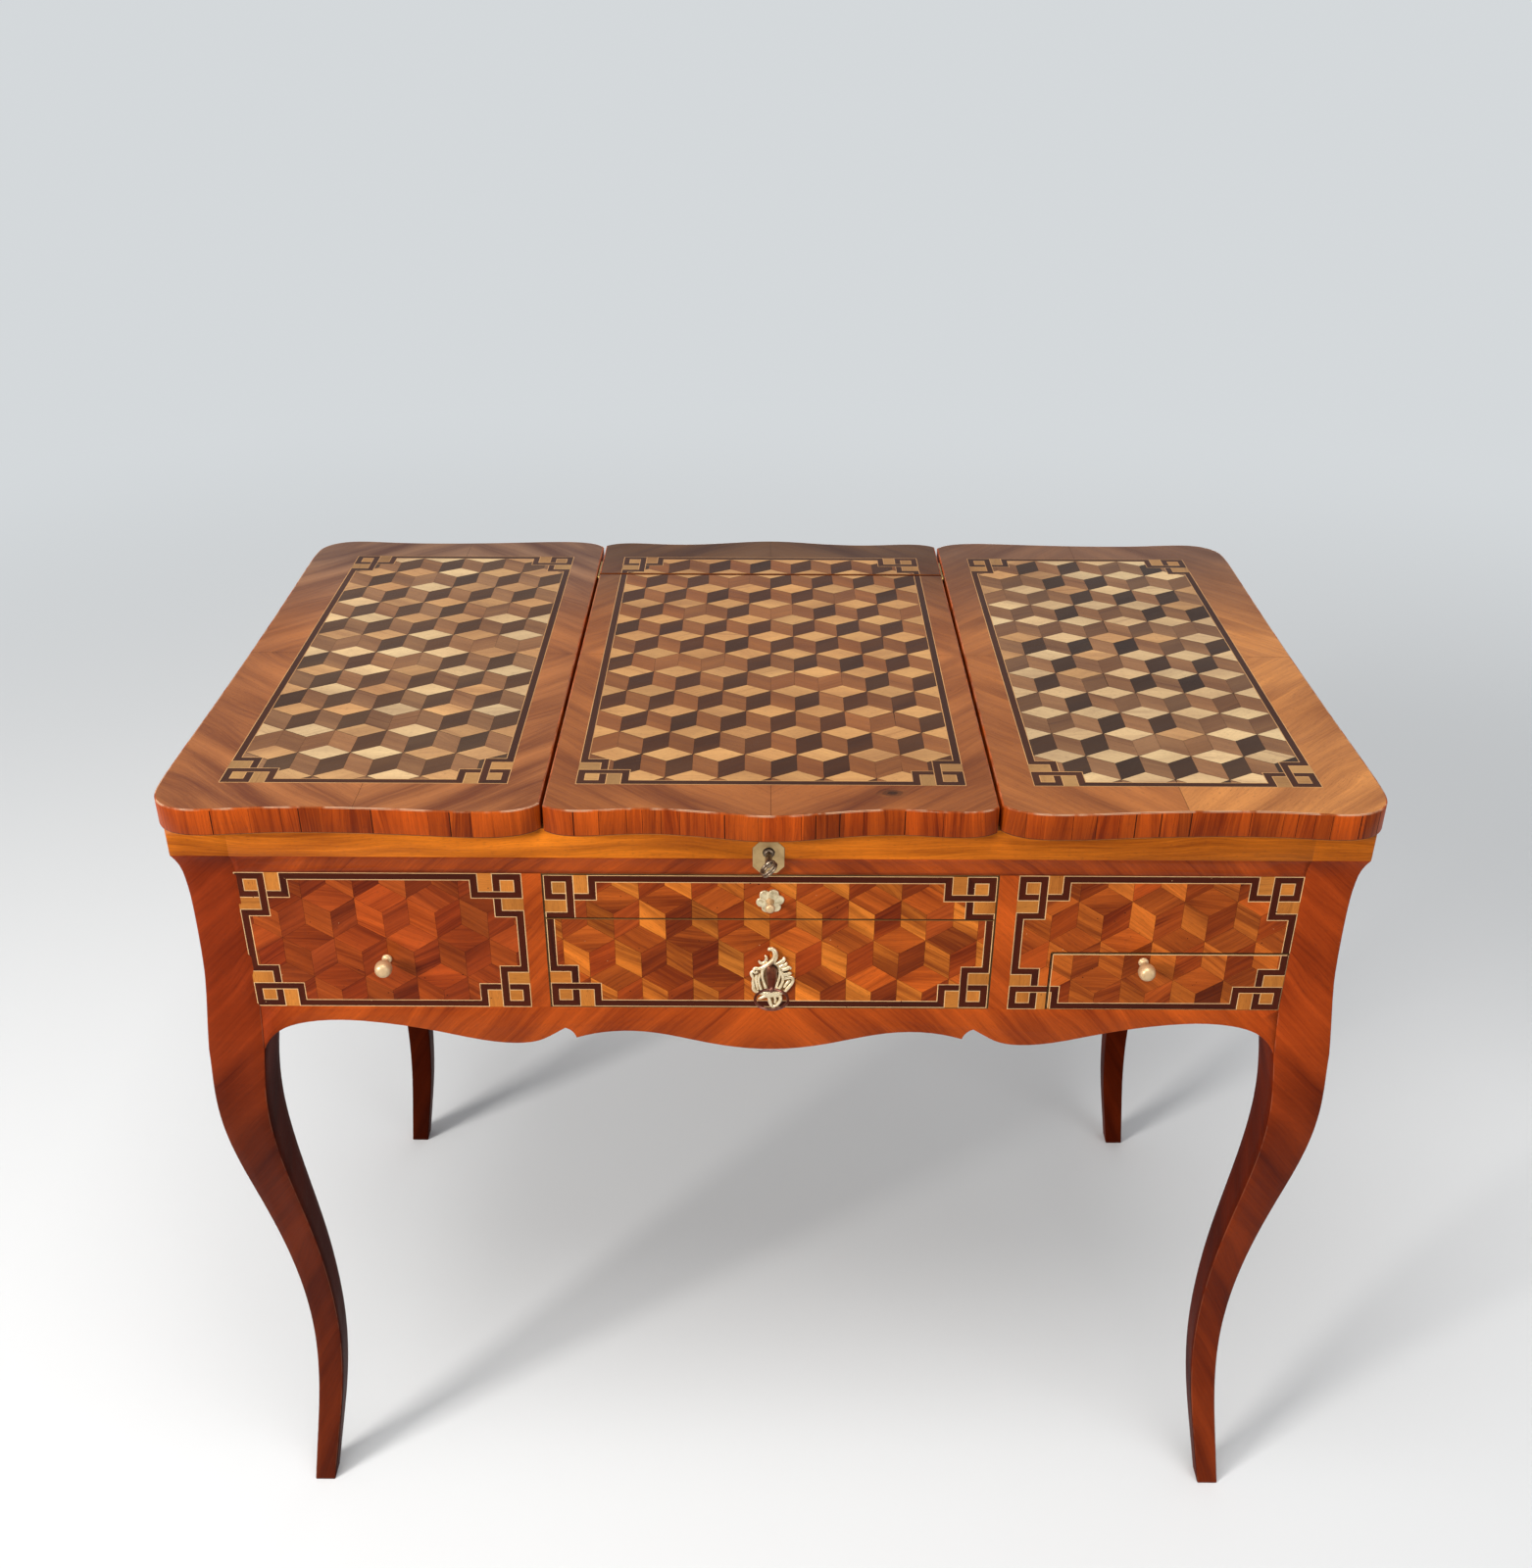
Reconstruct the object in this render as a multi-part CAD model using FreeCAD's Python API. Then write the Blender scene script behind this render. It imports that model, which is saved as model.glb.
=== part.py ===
import FreeCAD, Part
import math
import os

from FreeCAD import Vector

os.makedirs("parts", exist_ok=True)

# Poudreuse, a French lady's dressing table on four cabriole legs.
# X runs to the right, the front faces -Y, Z is up, and all lengths are millimetres.
# Pieces are drawn about the middle of the case. save() then moves them by origin_shift, so that
# the part's origin is on the floor, in the middle of everything that it reaches.

# Heights, from the top down
overall_height = 730.0
top_thickness = 21.0
band_height = 24.0
cove_height = 17.5
frieze_height = 119.5
apron_drop = 39.5
ear_drop = 36.0
case_top = overall_height - top_thickness
band_bottom = case_top - band_height
frieze_top = band_bottom - cove_height
frieze_bottom = frieze_top - frieze_height
ear_height = frieze_bottom - ear_drop

# Plan
case_width = 842.0
case_depth = 485.0
top_width = 871.0
top_depth = 514.0
case_half_x = case_width / 2
case_half_y = case_depth / 2
top_half_x = top_width / 2
top_half_y = top_depth / 2
board_thickness = 20.0
post_width = 36.0
post_inner_x = case_half_x - post_width
post_inner_y = case_half_y - post_width
inside_x = case_half_x - board_thickness
inside_y = case_half_y - board_thickness

# Profile of the case under the top: a straight band over a cove
band_proud = 6.5
cove_middle_share = 0.31
band_face_x = case_half_x + band_proud
band_face_y = case_half_y + band_proud

# Swelling of the posts: height share of the frieze, then how far the outer corner and the edge
# next to the boards stand out, as shares of the ear's swelling
ear_out = 7.2
post_frieze_shares = ((0, 0.53, 0), (0.226, 0.19, 0), (0.435, 0.06, 0), (0.728, 0, 0), (1, 0.21, 0))
post_apron_shares = ((0, 1, 1), (0.5, 0.78, 0.42), (1, 0.53, 0))
post_cove_share = 0.49

# Cabriole leg below the ear: height share, how far the outer corner lies outside the case as a
# share of the sweep, and the width as a share of the width at the ear
leg_sweep = 21.0
leg_shares = ((0, -0.167, 0.421), (0.088, -0.452, 0.458), (0.195, -0.786, 0.495),
              (0.322, -1, 0.523), (0.430, -0.952, 0.556), (0.547, -0.690, 0.620),
              (0.664, -0.276, 0.706), (0.781, 0.190, 0.824), (0.859, 0.395, 0.893),
              (0.928, 0.419, 0.938))

# Underside of the front apron from the middle to the post: share of the half length, then share
# of apron_drop below the frieze
apron_middle_shares = ((0, 1), (0.0987, 0.901), (0.156, 0.770), (0.213, 0.638),
                       (0.275, 0.572), (0.348, 0.643), (0.383, 0.742))
apron_notch_shares = ((0.383, 0.742), (0.392, 0.58), (0.404, 0.506))
apron_outer_shares = ((0.404, 0.506), (0.427, 0.653), (0.4545, 0.803), (0.499, 0.878),
                      (0.558, 0.830), (0.660, 0.595), (0.771, 0.395), (0.844, 0.339),
                      (0.917, 0.392), (0.966, 0.544), (1, 0.911))
plain_apron_shares = ((0, 0.92), (0.2, 0.86), (0.45, 0.66), (0.68, 0.46), (0.82, 0.40),
                      (0.92, 0.50), (0.97, 0.63), (1, 0.911))
flare_length = 60.0
flare_steps = 3
flare_overrun = 20.0
flare_overrun_share = 1.12

# Openings in the front
opening_half_x = 165.3
partition_thickness = 16.0
front_gap = 0.6
drawer_zone = 80.5
slide_seam_z = frieze_bottom + drawer_zone
small_drawer_zone = 52.2
small_drawer_top = frieze_bottom + small_drawer_zone
small_stile_width = 27.2
panel_inner_x = opening_half_x + partition_thickness
small_opening_x = panel_inner_x + small_stile_width

# Top panels: the lid laps over the partitions, and the front and rear edges are bowed
partition_lap = 6.2
strip_extra = 0.2
seam_gap = 2.4
lid_half_x = opening_half_x - partition_lap
strip_half_x = lid_half_x + strip_extra
flap_inner_x = lid_half_x + seam_gap
bow_depth = 9.5
side_hollow = 1.8
corner_size = 30.0
lid_bow_shares = ((0, 1), (0.126, 0.84), (0.24, 0.52), (0.377, 0.17), (0.527, -0.03),
                  (0.69, 0.10), (0.847, 0.30), (0.94, 0.08), (1, -0.5))
flap_bow_shares = ((0, -0.84), (0.026, -0.13), (0.071, 0.38), (0.162, 0.59), (0.316, 0.29),
                   (0.531, -0.02), (0.688, 0.02), (0.786, 0.25), (0.87, 0.42))
corner_shares = ((-0.683, 0.053), (-0.3, -0.183), (-0.093, -0.52), (-0.02, -0.95))
side_shares = ((0.8, 0.05), (0.5, 0.55), (0, 1))

# Rear strip and the pivots of the lid
strip_depth = 77.5
lid_seam_y = top_half_y - strip_depth
strip_gap = 1.0
pivot_inset = 3.0
pivot_y = lid_seam_y - pivot_inset
pivot_z = overall_height - pivot_inset
pivot_leaf_length = 36.0
pivot_leaf_height = 4.5
pivot_leaf_thickness = 1.3
pivot_leaf_sink = 0.3
pivot_stud_radius = 1.5
pivot_stud_end = 0.5
pivot_running = 0.05
pivot_end_clearance = 0.3
pivot_bed_clearance = 0.1

# Mirror on the underside of the lid
mirror_frame_width = 20.0
mirror_frame_thickness = 12.0
mirror_frame_side_clearance = 3.8
mirror_frame_front_clearance = 4.0
mirror_frame_rear_clearance = 22.0
mirror_rebate = 4.0
mirror_thickness = 3.0
mirror_edge_clearance = 0.3
mirror_bevel_width = 14.0
mirror_bevel_depth = 1.0

# Flap hinges
flap_axis_inset = 3.7
flap_axis_x = top_half_x - flap_axis_inset
flap_axis_drop = 3.0
flap_axis_z = case_top - flap_axis_drop
hinge_place_share = 0.62
hinge_place_y = hinge_place_share * case_half_y
hinge_leaf_width = 25.8
hinge_leaf_thickness = 1.5
hinge_barrel_radius = 2.6
hinge_pin_radius = 1.2
hinge_running = 0.05
hinge_knuckles = 5
knuckle_length = 12.0
knuckle_gap = 0.2
hinge_leaf_clearance = 0.1
hinge_web_half = 1.2
hinge_leaf_setback = 0.7
hinge_pocket_clearance = 0.2

# Floors and dust boards
bottom_thickness = 10.0
well_floor_thickness = 6.0
lid_bearer_width = 14.0
divider_thickness = 15.6
guide_height = 18.0

# Writing slide
slide_front_thickness = 10.0
slide_thickness = 20.0
slide_side_clearance = 0.5
slide_clearance = 0.3
slide_rear_clearance = 10.0
leather_margin = 25.0
leather_front_margin = 20.0
leather_rear_margin = 175.0
leather_thickness = 0.8

# Drawers
drawer_front_thickness = 18.0
drawer_side_thickness = 10.0
small_side_thickness = 8.0
drawer_side_drop = 9.8
small_side_drop = 8.0
drawer_lap = 12.0
tail_pitch = 23.0
tail_share = 0.74
tail_slope = 0.16
drawer_side_clearance = 0.6
drawer_rear_clearance = 10.0
drawer_back_thickness = 10.0
drawer_back_drop = 6.0
drawer_floor_thickness = 6.0
drawer_floor_height = 4.0
drawer_groove = 3.5
groove_clearance = 0.2

# Knobs on the false drawer and on the small drawer
panel_middle_x = (panel_inner_x + post_inner_x) / 2
left_knob_offset = 1.05
right_knob_offset = 5.75
left_knob_x = -panel_middle_x - left_knob_offset
right_knob_x = panel_middle_x - right_knob_offset
knob_height = 44.3
knob_z = frieze_bottom + knob_height
knob_base_radius = 5.5
knob_base_thickness = 1.5
knob_neck_radius = 2.5
knob_neck_length = 5.8
knob_ball_radius = 6.4

# Rosette knob on the writing slide
slide_knob_height = 16.6
slide_knob_z = slide_seam_z + slide_knob_height
rosette_petals = 6
petal_tip = 10.6
petal_valley = 8.4
rosette_thickness = 2.2
slide_neck_radius = 2.0
slide_head_radius = 4.6
slide_dome_height = 2.4
slide_knob_length = 13.0

# Key plate of the lid, an octagon let into the band
plate_x = -1.4
plate_drop = 22.8
plate_z = case_top - plate_drop
plate_width = 22.6
plate_height = 26.4
plate_corner = 5.5
plate_thickness = 2.6
plate_proud = 0.3

# Key plate of the drawer, a rocaille cartouche: outline as shares of its width and height
rocaille_x = 1.8
rocaille_middle_height = 29.0
rocaille_z = frieze_bottom + rocaille_middle_height
rocaille_width = 33.0
rocaille_height = 55.0
rocaille_thickness = 2.4
rocaille_shares = ((0.02, 0.5), (-0.15, 0.42), (-0.32, 0.34), (-0.40, 0.22), (-0.30, 0.10),
                   (-0.42, -0.02), (-0.5, -0.14), (-0.42, -0.26), (-0.24, -0.32),
                   (-0.12, -0.44), (0.06, -0.5), (0.16, -0.40), (0.34, -0.33), (0.44, -0.22),
                   (0.36, -0.10), (0.5, 0.0), (0.46, 0.12), (0.32, 0.18), (0.36, 0.30),
                   (0.2, 0.40))

# Locks, bolts and keys: the same kind at two sizes
lid_key_x = -1.3
lid_key_drop = 19.0
lid_key_z = case_top - lid_key_drop
drawer_key_x = 1.3
drawer_key_height = 37.0
drawer_key_z = frieze_bottom + drawer_key_height
lock_wall = 1.2
lock_clearance = 0.3
lid_lock_width = 36.0
lid_lock_depth = 9.5
lid_lock_below_key = 14.0
drawer_lock_width = 40.0
drawer_lock_depth = 9.2
drawer_lock_below_key = 14.0
bolt_width = 12.0
bolt_thickness = 3.0
bolt_retreat = 0.5
bolt_setback = 1.6
bolt_throw = 6.5
bolt_bit_clearance = 1.0
lid_shank_radius = 2.6
drawer_shank_radius = 3.0
keyhole_clearance = 0.5
key_running = 0.05
keyhole_slot_width = 2.8
lid_bit_reach = 7.0
drawer_bit_reach = 8.0
bit_thickness = 2.0
bit_length = 5.0
bit_setback = 0.8
lid_ring_outer = 13.5
lid_ring_wire = 2.1
lid_key_reach = 28.2
lid_key_turn = 40.0
drawer_ring_outer = 26.0
drawer_ring_wire = 3.2
drawer_key_reach = 49.1
collar_proud = 0.9
collar_length = 3.0
collar_gap = 1.0
strike_thickness = 1.2
strike_margin = 5.0
strike_clearance = 0.8

half_turn = 180.0
overrun = 5.0
front_reach = case_half_y + rocaille_thickness + drawer_key_reach
rear_reach = top_half_y + bow_depth
origin_shift = (front_reach - rear_reach) / 2


def box(x0, x1, y0, y1, z0, z1):
    """Block between two corners."""
    return Part.makeBox(x1 - x0, y1 - y0, z1 - z0, Vector(x0, y0, z0))


def polygon(points):
    """Closed wire of straight lines."""
    corners = [Vector(*point) for point in points]
    return Part.makePolygon(corners + [corners[0]])


def spline(points):
    """Smooth edge through points."""
    curve = Part.BSplineCurve()
    curve.interpolate([Vector(*point) for point in points])
    return curve.toShape()


def line(start, end):
    """Straight edge."""
    return Part.makeLine(Vector(*start), Vector(*end))


def prism(edges, direction):
    """Solid swept straight from a flat closed outline."""
    return Part.Face(Part.Wire(edges)).extrude(Vector(*direction))


def mirrored_x(shape):
    """The same piece on the other side of the table."""
    return shape.mirror(Vector(0, 0, 0), Vector(1, 0, 0))


def mirrored_y(shape):
    """The same piece at the other end, front to back."""
    return shape.mirror(Vector(0, 0, 0), Vector(0, 1, 0))


def cylinder_y(radius, x, z, y0, y1):
    """Round bar along Y."""
    return Part.makeCylinder(radius, y1 - y0, Vector(x, y0, z), Vector(0, 1, 0))


def save(name, *shapes):
    """Write one sub-part, moved to the part's origin."""
    solids = [solid for shape in shapes for solid in shape.Solids]
    whole = solids[0] if len(solids) == 1 else Part.makeCompound(solids)
    whole.translated(Vector(0, origin_shift, 0)).exportStep("parts/" + name + ".step")


def leg_section(z, out, width):
    """Square section of the front left leg below its ear."""
    x = -case_half_x - out
    y = -case_half_y - out
    return polygon(((x, y, z), (x + width, y, z), (x + width, y + width, z), (x, y + width, z)))


def post_section(z, corner_out, edge_out):
    """Section of the front left post: the outer corner may stand further out than the edges."""
    return polygon(((-case_half_x - corner_out, -case_half_y - corner_out, z),
                    (-post_inner_x, -case_half_y - edge_out, z),
                    (-post_inner_x, -post_inner_y, z),
                    (-case_half_x - edge_out, -post_inner_y, z)))


def make_leg():
    """Front left leg with its post, from the floor to the underside of the top."""
    ear_width = post_width + ear_out
    lower = [leg_section(share * ear_height, out * leg_sweep, width * ear_width)
             for share, out, width in leg_shares]
    ear = post_section(ear_height, ear_out, ear_out)
    apron = [post_section(ear_height + share * ear_drop, corner * ear_out, edge * ear_out)
             for share, corner, edge in post_apron_shares]
    frieze = [post_section(frieze_bottom + share * frieze_height, corner * ear_out, edge * ear_out)
              for share, corner, edge in post_frieze_shares]
    corner_at_cove = post_frieze_shares[-1][1] * ear_out
    cove = [post_section(frieze_top, corner_at_cove, 0),
            post_section(frieze_top + cove_height / 2, post_cove_share * band_proud,
                         cove_middle_share * band_proud),
            post_section(band_bottom, band_proud, band_proud)]
    band = [post_section(band_bottom, band_proud, band_proud),
            post_section(case_top, band_proud, band_proud)]
    leg = Part.makeLoft(lower + [ear], True, False)
    leg = leg.fuse(Part.makeLoft(apron + frieze[1:], True, False))
    leg = leg.fuse(Part.makeLoft(cove, True, False))
    return leg.fuse(Part.makeLoft(band, True, True))


def cut_hinge_beds(piece, side):
    """Sink the leaves of the flap hinges into the top edge of the case."""
    for sign in (-1, 1):
        length = hinge_knuckles * knuckle_length + hinge_pocket_clearance
        middle = sign * hinge_place_y
        outer = side * (band_face_x + overrun)
        inner = side * (flap_axis_x - hinge_leaf_width - hinge_pocket_clearance)
        piece = piece.cut(box(min(inner, outer), max(inner, outer),
                              middle - length / 2, middle + length / 2,
                              case_top - hinge_leaf_thickness, case_top + overrun))
    return piece


def flare_section(x, share, face):
    """Section of an apron across its length, swelling out towards its lower edge."""
    front = [(x, -face - share * edge * ear_out, ear_height + height * ear_drop)
             for height, corner, edge in post_apron_shares]
    low = ear_height - flare_overrun
    front = [(x, -face - share * flare_overrun_share * ear_out, low)] + front
    back = -face + board_thickness
    edges = [spline(front), line(front[-1], (x, back, frieze_bottom)),
             line((x, back, frieze_bottom), (x, back, low)), line((x, back, low), front[0])]
    return Part.Wire(edges)


def apron_block(half_run, face):
    """Apron before its underside is cut, with its face flaring out to meet each leg."""
    low = ear_height - flare_overrun
    straight = half_run - flare_length
    block = box(-straight, straight, -face, -face + board_thickness, low, frieze_bottom)
    sections = []
    for step in range(flare_steps + 1):
        share = step / flare_steps
        sections.append(flare_section(straight + share * flare_length, share ** 2, face))
    end = Part.makeLoft(sections, True, False)
    return block.fuse(end).fuse(mirrored_x(end))


def underside(half_run, face, stretches):
    """Solid to cut away below an apron, bounded by smooth stretches mirrored about the middle."""
    low = ear_height - flare_overrun - overrun
    y = -face - ear_out - overrun
    right = [[(share * half_run, y, frieze_bottom - drop * apron_drop) for share, drop in stretch]
             for stretch in stretches]
    middle = right[0]
    mirrored_middle = [(-x, y, z) for x, y, z in reversed(middle[1:])]
    edges = [spline(mirrored_middle + middle)]
    for stretch in right[1:]:
        edges.append(spline(stretch))
        edges.append(spline([(-x, y, z) for x, y, z in stretch]))
    end = right[-1][-1]
    outer = half_run + overrun
    corners = [end, (outer, y, end[2]), (outer, y, low), (-outer, y, low), (-outer, y, end[2]),
               (-end[0], y, end[2])]
    edges += [line(first, second) for first, second in zip(corners, corners[1:])]
    edges = Part.__sortEdges__(edges)
    return prism(edges, (0, board_thickness + ear_out + 2 * overrun, 0))


def make_front_apron():
    """Shaped lower rail of the front."""
    block = apron_block(post_inner_x, case_half_y)
    stretches = (apron_middle_shares, apron_notch_shares, apron_outer_shares)
    return block.cut(underside(post_inner_x, case_half_y, stretches))


def crown_edges(face, x, bottom):
    """Outline across a board that carries the cove and the band, from its bottom edge up."""
    cove_middle = (x, -face - cove_middle_share * band_proud, frieze_top + cove_height / 2)
    cove = spline(((x, -face, frieze_top), cove_middle, (x, -face - band_proud, band_bottom)))
    corners = ((x, -face - band_proud, band_bottom), (x, -face - band_proud, case_top),
               (x, -face + board_thickness, case_top), (x, -face + board_thickness, bottom))
    edges = [cove] + [line(first, second) for first, second in zip(corners, corners[1:])]
    if bottom < frieze_top:
        edges.append(line(corners[-1], (x, -face, bottom)))
        edges.append(line((x, -face, bottom), (x, -face, frieze_top)))
    else:
        edges.append(line(corners[-1], (x, -face, frieze_top)))
    return edges


def make_wall(half_run, face):
    """Side or back of the case in one board: shaped apron, flat frieze, cove and band."""
    upper = prism(crown_edges(face, -half_run, frieze_bottom), (2 * half_run, 0, 0))
    wall = apron_block(half_run, face).fuse(upper).removeSplitter()
    return wall.cut(underside(half_run, face, (plain_apron_shares,)))


def make_side(side):
    """Left (-1) or right (1) side board."""
    wall = make_wall(post_inner_y, case_half_x)
    wall.rotate(Vector(0, 0, 0), Vector(0, 0, 1), side * half_turn / 2)
    return cut_hinge_beds(wall, side)


def make_back():
    """Back board, facing the wall of the room."""
    return mirrored_y(make_wall(post_inner_x, case_half_y))


def keyhole(x, z, radius, reach, y0, y1):
    """Passage for a key: a round hole with a slot below it."""
    hole = cylinder_y(radius, x, z, y0, y1)
    half = keyhole_slot_width / 2
    return hole.fuse(box(x - half, x + half, y0, y1, z - reach - keyhole_clearance, z))


def octagon(y0, y1, grow):
    """Block with the outline of the lid's key plate."""
    half_x = plate_width / 2 + grow
    half_z = plate_height / 2 + grow
    clip_x = half_x - plate_corner
    clip_z = half_z - plate_corner
    points = ((half_x, clip_z), (clip_x, half_z), (-clip_x, half_z), (-half_x, clip_z),
              (-half_x, -clip_z), (-clip_x, -half_z), (clip_x, -half_z), (half_x, -clip_z))
    wire = polygon([(plate_x + x, y0, plate_z + z) for x, z in points])
    return Part.Face(wire).extrude(Vector(0, y1 - y0, 0))


def make_top_rail():
    """Front rail over the slide, with the lock of the lid let into its back."""
    rail = prism(crown_edges(case_half_y, -post_inner_x, frieze_top), (2 * post_inner_x, 0, 0))
    seat = -band_face_y - plate_proud + plate_thickness
    rail = rail.cut(octagon(-band_face_y - overrun, seat, 0))
    passage = keyhole(lid_key_x, lid_key_z, lid_shank_radius + keyhole_clearance, lid_bit_reach,
                      -band_face_y - overrun, -inside_y)
    half = lid_lock_width / 2 + lock_clearance
    pocket = box(lid_key_x - half, lid_key_x + half, -inside_y - lid_lock_depth, -inside_y + overrun,
                 lid_key_z - lid_lock_below_key - lock_clearance, case_top + overrun)
    return rail.cut(passage).cut(pocket)


def make_lid_plate():
    """Octagonal key plate of the lid."""
    front = -band_face_y - plate_proud
    plate = octagon(front, front + plate_thickness, 0)
    return plate.cut(keyhole(lid_key_x, lid_key_z, lid_shank_radius + keyhole_clearance,
                             lid_bit_reach, front - overrun, front + plate_thickness + overrun))


def make_rocaille_plate():
    """Cartouche-shaped key plate of the centre drawer."""
    points = [Vector(rocaille_x + x * rocaille_width, -case_half_y - rocaille_thickness,
                     rocaille_z + z * rocaille_height) for x, z in rocaille_shares]
    outline = Part.BSplineCurve()
    outline.interpolate(points, PeriodicFlag=True)
    plate = Part.Face(Part.Wire([outline.toShape()])).extrude(Vector(0, rocaille_thickness, 0))
    return plate.cut(keyhole(drawer_key_x, drawer_key_z, drawer_shank_radius + keyhole_clearance,
                             drawer_bit_reach, -case_half_y - rocaille_thickness - overrun,
                             -case_half_y + overrun))


def make_partition():
    """Right-hand upright between the centre and a side, its front edge showing as a stile."""
    front = box(opening_half_x, panel_inner_x, -case_half_y, -inside_y, frieze_bottom, frieze_top)
    return front.fuse(box(opening_half_x, panel_inner_x, -inside_y, inside_y,
                          frieze_bottom, case_top)).removeSplitter()


def corner_notches(floor, z0, z1):
    """Notch a floor round the posts."""
    for x in (-1, 1):
        for y in (-1, 1):
            x_range = sorted((x * post_inner_x, x * case_half_x))
            y_range = sorted((y * post_inner_y, y * case_half_y))
            floor = floor.cut(box(x_range[0], x_range[1], y_range[0], y_range[1], z0, z1))
    return floor


def make_case_bottom():
    """Board that closes the case from below and carries the drawers."""
    low = frieze_bottom - bottom_thickness
    board = box(-inside_x, inside_x, -inside_y, inside_y, low, frieze_bottom)
    return corner_notches(board, low, frieze_bottom)


def make_right_well_floor():
    """Floor of the right well, over the small drawer."""
    high = small_drawer_top + well_floor_thickness
    board = box(panel_inner_x, inside_x, -inside_y, inside_y, small_drawer_top, high)
    return corner_notches(board, small_drawer_top, high)


def bolt_front(inner_face):
    """Front plane of a bolt, measured from the back of the wood that holds its lock."""
    return inner_face - bolt_setback - bolt_thickness


def make_divider():
    """Dust board between the centre drawer and the slide, with the mortise for the drawer bolt."""
    front = -case_half_y + slide_front_thickness + slide_clearance
    z0 = slide_seam_z + front_gap / 2
    board = box(-opening_half_x, opening_half_x, front, inside_y, z0, z0 + divider_thickness)
    y0 = bolt_front(-case_half_y + drawer_front_thickness)
    return board.cut(box(drawer_key_x - bolt_width / 2 - strike_clearance,
                         drawer_key_x + bolt_width / 2 + strike_clearance,
                         y0 - strike_clearance, y0 + bolt_thickness + strike_clearance,
                         z0 - overrun, z0 + bolt_throw + strike_clearance))


def make_guides():
    """Guide strips on both sides of the small drawer."""
    z1 = frieze_bottom + guide_height
    left = box(panel_inner_x, small_opening_x, -inside_y, inside_y, frieze_bottom, z1)
    right = box(post_inner_x, inside_x, -post_inner_y, post_inner_y, frieze_bottom, z1)
    return left, right


def bow_points(shares, x0, x1):
    """Points of a bowed front edge from x0 to x1."""
    return [(x0 + share * (x1 - x0), -top_half_y - bow * bow_depth) for share, bow in shares]


def top_solid(edges):
    """Top panel from its outline on the underside."""
    return prism(edges, (0, 0, top_thickness))


def at(points, z):
    """Lift plan points to a height."""
    return [(x, y, z) for x, y in points]


def make_flap_panel():
    """Right flap: bowed front and rear edges, rounded outer corners, slightly hollow side."""
    front = bow_points(flap_bow_shares, flap_inner_x, top_half_x)
    front += [(top_half_x + x * corner_size, -top_half_y - y * corner_size)
              for x, y in corner_shares]
    half = front + [(top_half_x - hollow * side_hollow, -share * top_half_y)
                    for share, hollow in side_shares]
    rear = [(x, -y) for x, y in reversed(half[:-1])]
    outline = spline(at(half + rear, case_top))
    return top_solid([outline, line((flap_inner_x, -half[0][1], case_top),
                                    (flap_inner_x, half[0][1], case_top))])


def make_flap():
    """Right flap with the beds of its hinge leaves."""
    flap = make_flap_panel()
    for sign in (-1, 1):
        half = hinge_knuckles * knuckle_length / 2 + hinge_pocket_clearance
        middle = sign * hinge_place_y
        top = case_top + hinge_leaf_clearance + hinge_leaf_thickness + hinge_pocket_clearance
        flap = flap.cut(box(flap_axis_x - hinge_leaf_width - hinge_pocket_clearance,
                            flap_axis_x + hinge_web_half + hinge_pocket_clearance,
                            middle - half, middle + half, case_top - overrun, top))
    return flap


def knuckles(first, middle):
    """Every other knuckle of a hinge barrel, as pairs of ends along Y."""
    start = middle - hinge_knuckles * knuckle_length / 2
    for index in range(first, hinge_knuckles, 2):
        low = start + index * knuckle_length + (knuckle_gap / 2 if index else 0)
        high = start + (index + 1) * knuckle_length
        yield low, high - (knuckle_gap / 2 if index < hinge_knuckles - 1 else 0)


def make_case_leaf(middle):
    """Leaf in the top edge of the side, its knuckles hanging under the overhang of the flap."""
    half = hinge_knuckles * knuckle_length / 2
    z0 = case_top - hinge_leaf_thickness
    edge = flap_axis_x - hinge_barrel_radius - hinge_leaf_setback
    leaf = box(flap_axis_x - hinge_leaf_width, edge, middle - half, middle + half, z0, case_top)
    for low, high in knuckles(0, middle):
        arm = box(edge, flap_axis_x, low, high, z0, flap_axis_z + hinge_barrel_radius)
        leaf = leaf.fuse(arm)
        leaf = leaf.fuse(cylinder_y(hinge_barrel_radius, flap_axis_x, flap_axis_z, low, high))
    return leaf.cut(pin_bore(middle)).removeSplitter()


def pin_bore(middle):
    """Hole for a hinge pin through the whole barrel."""
    half = hinge_knuckles * knuckle_length / 2 + overrun
    return cylinder_y(hinge_pin_radius + hinge_running, flap_axis_x, flap_axis_z,
                      middle - half, middle + half)


def make_flap_leaf(middle):
    """Leaf in the underside of the flap, with webs down to its knuckles."""
    half = hinge_knuckles * knuckle_length / 2
    z0 = case_top + hinge_leaf_clearance
    z1 = z0 + hinge_leaf_thickness
    leaf = box(flap_axis_x - hinge_leaf_width, flap_axis_x + hinge_web_half,
               middle - half, middle + half, z0, z1)
    for low, high in knuckles(1, middle):
        leaf = leaf.fuse(box(flap_axis_x - hinge_web_half, flap_axis_x + hinge_web_half,
                             low, high, flap_axis_z, z1))
        leaf = leaf.fuse(cylinder_y(hinge_barrel_radius, flap_axis_x, flap_axis_z, low, high))
    return leaf.cut(pin_bore(middle)).removeSplitter()


def make_hinge_pin(middle):
    """Pin through one hinge barrel."""
    half = hinge_knuckles * knuckle_length / 2
    return cylinder_y(hinge_pin_radius, flap_axis_x, flap_axis_z, middle - half, middle + half)


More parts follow.
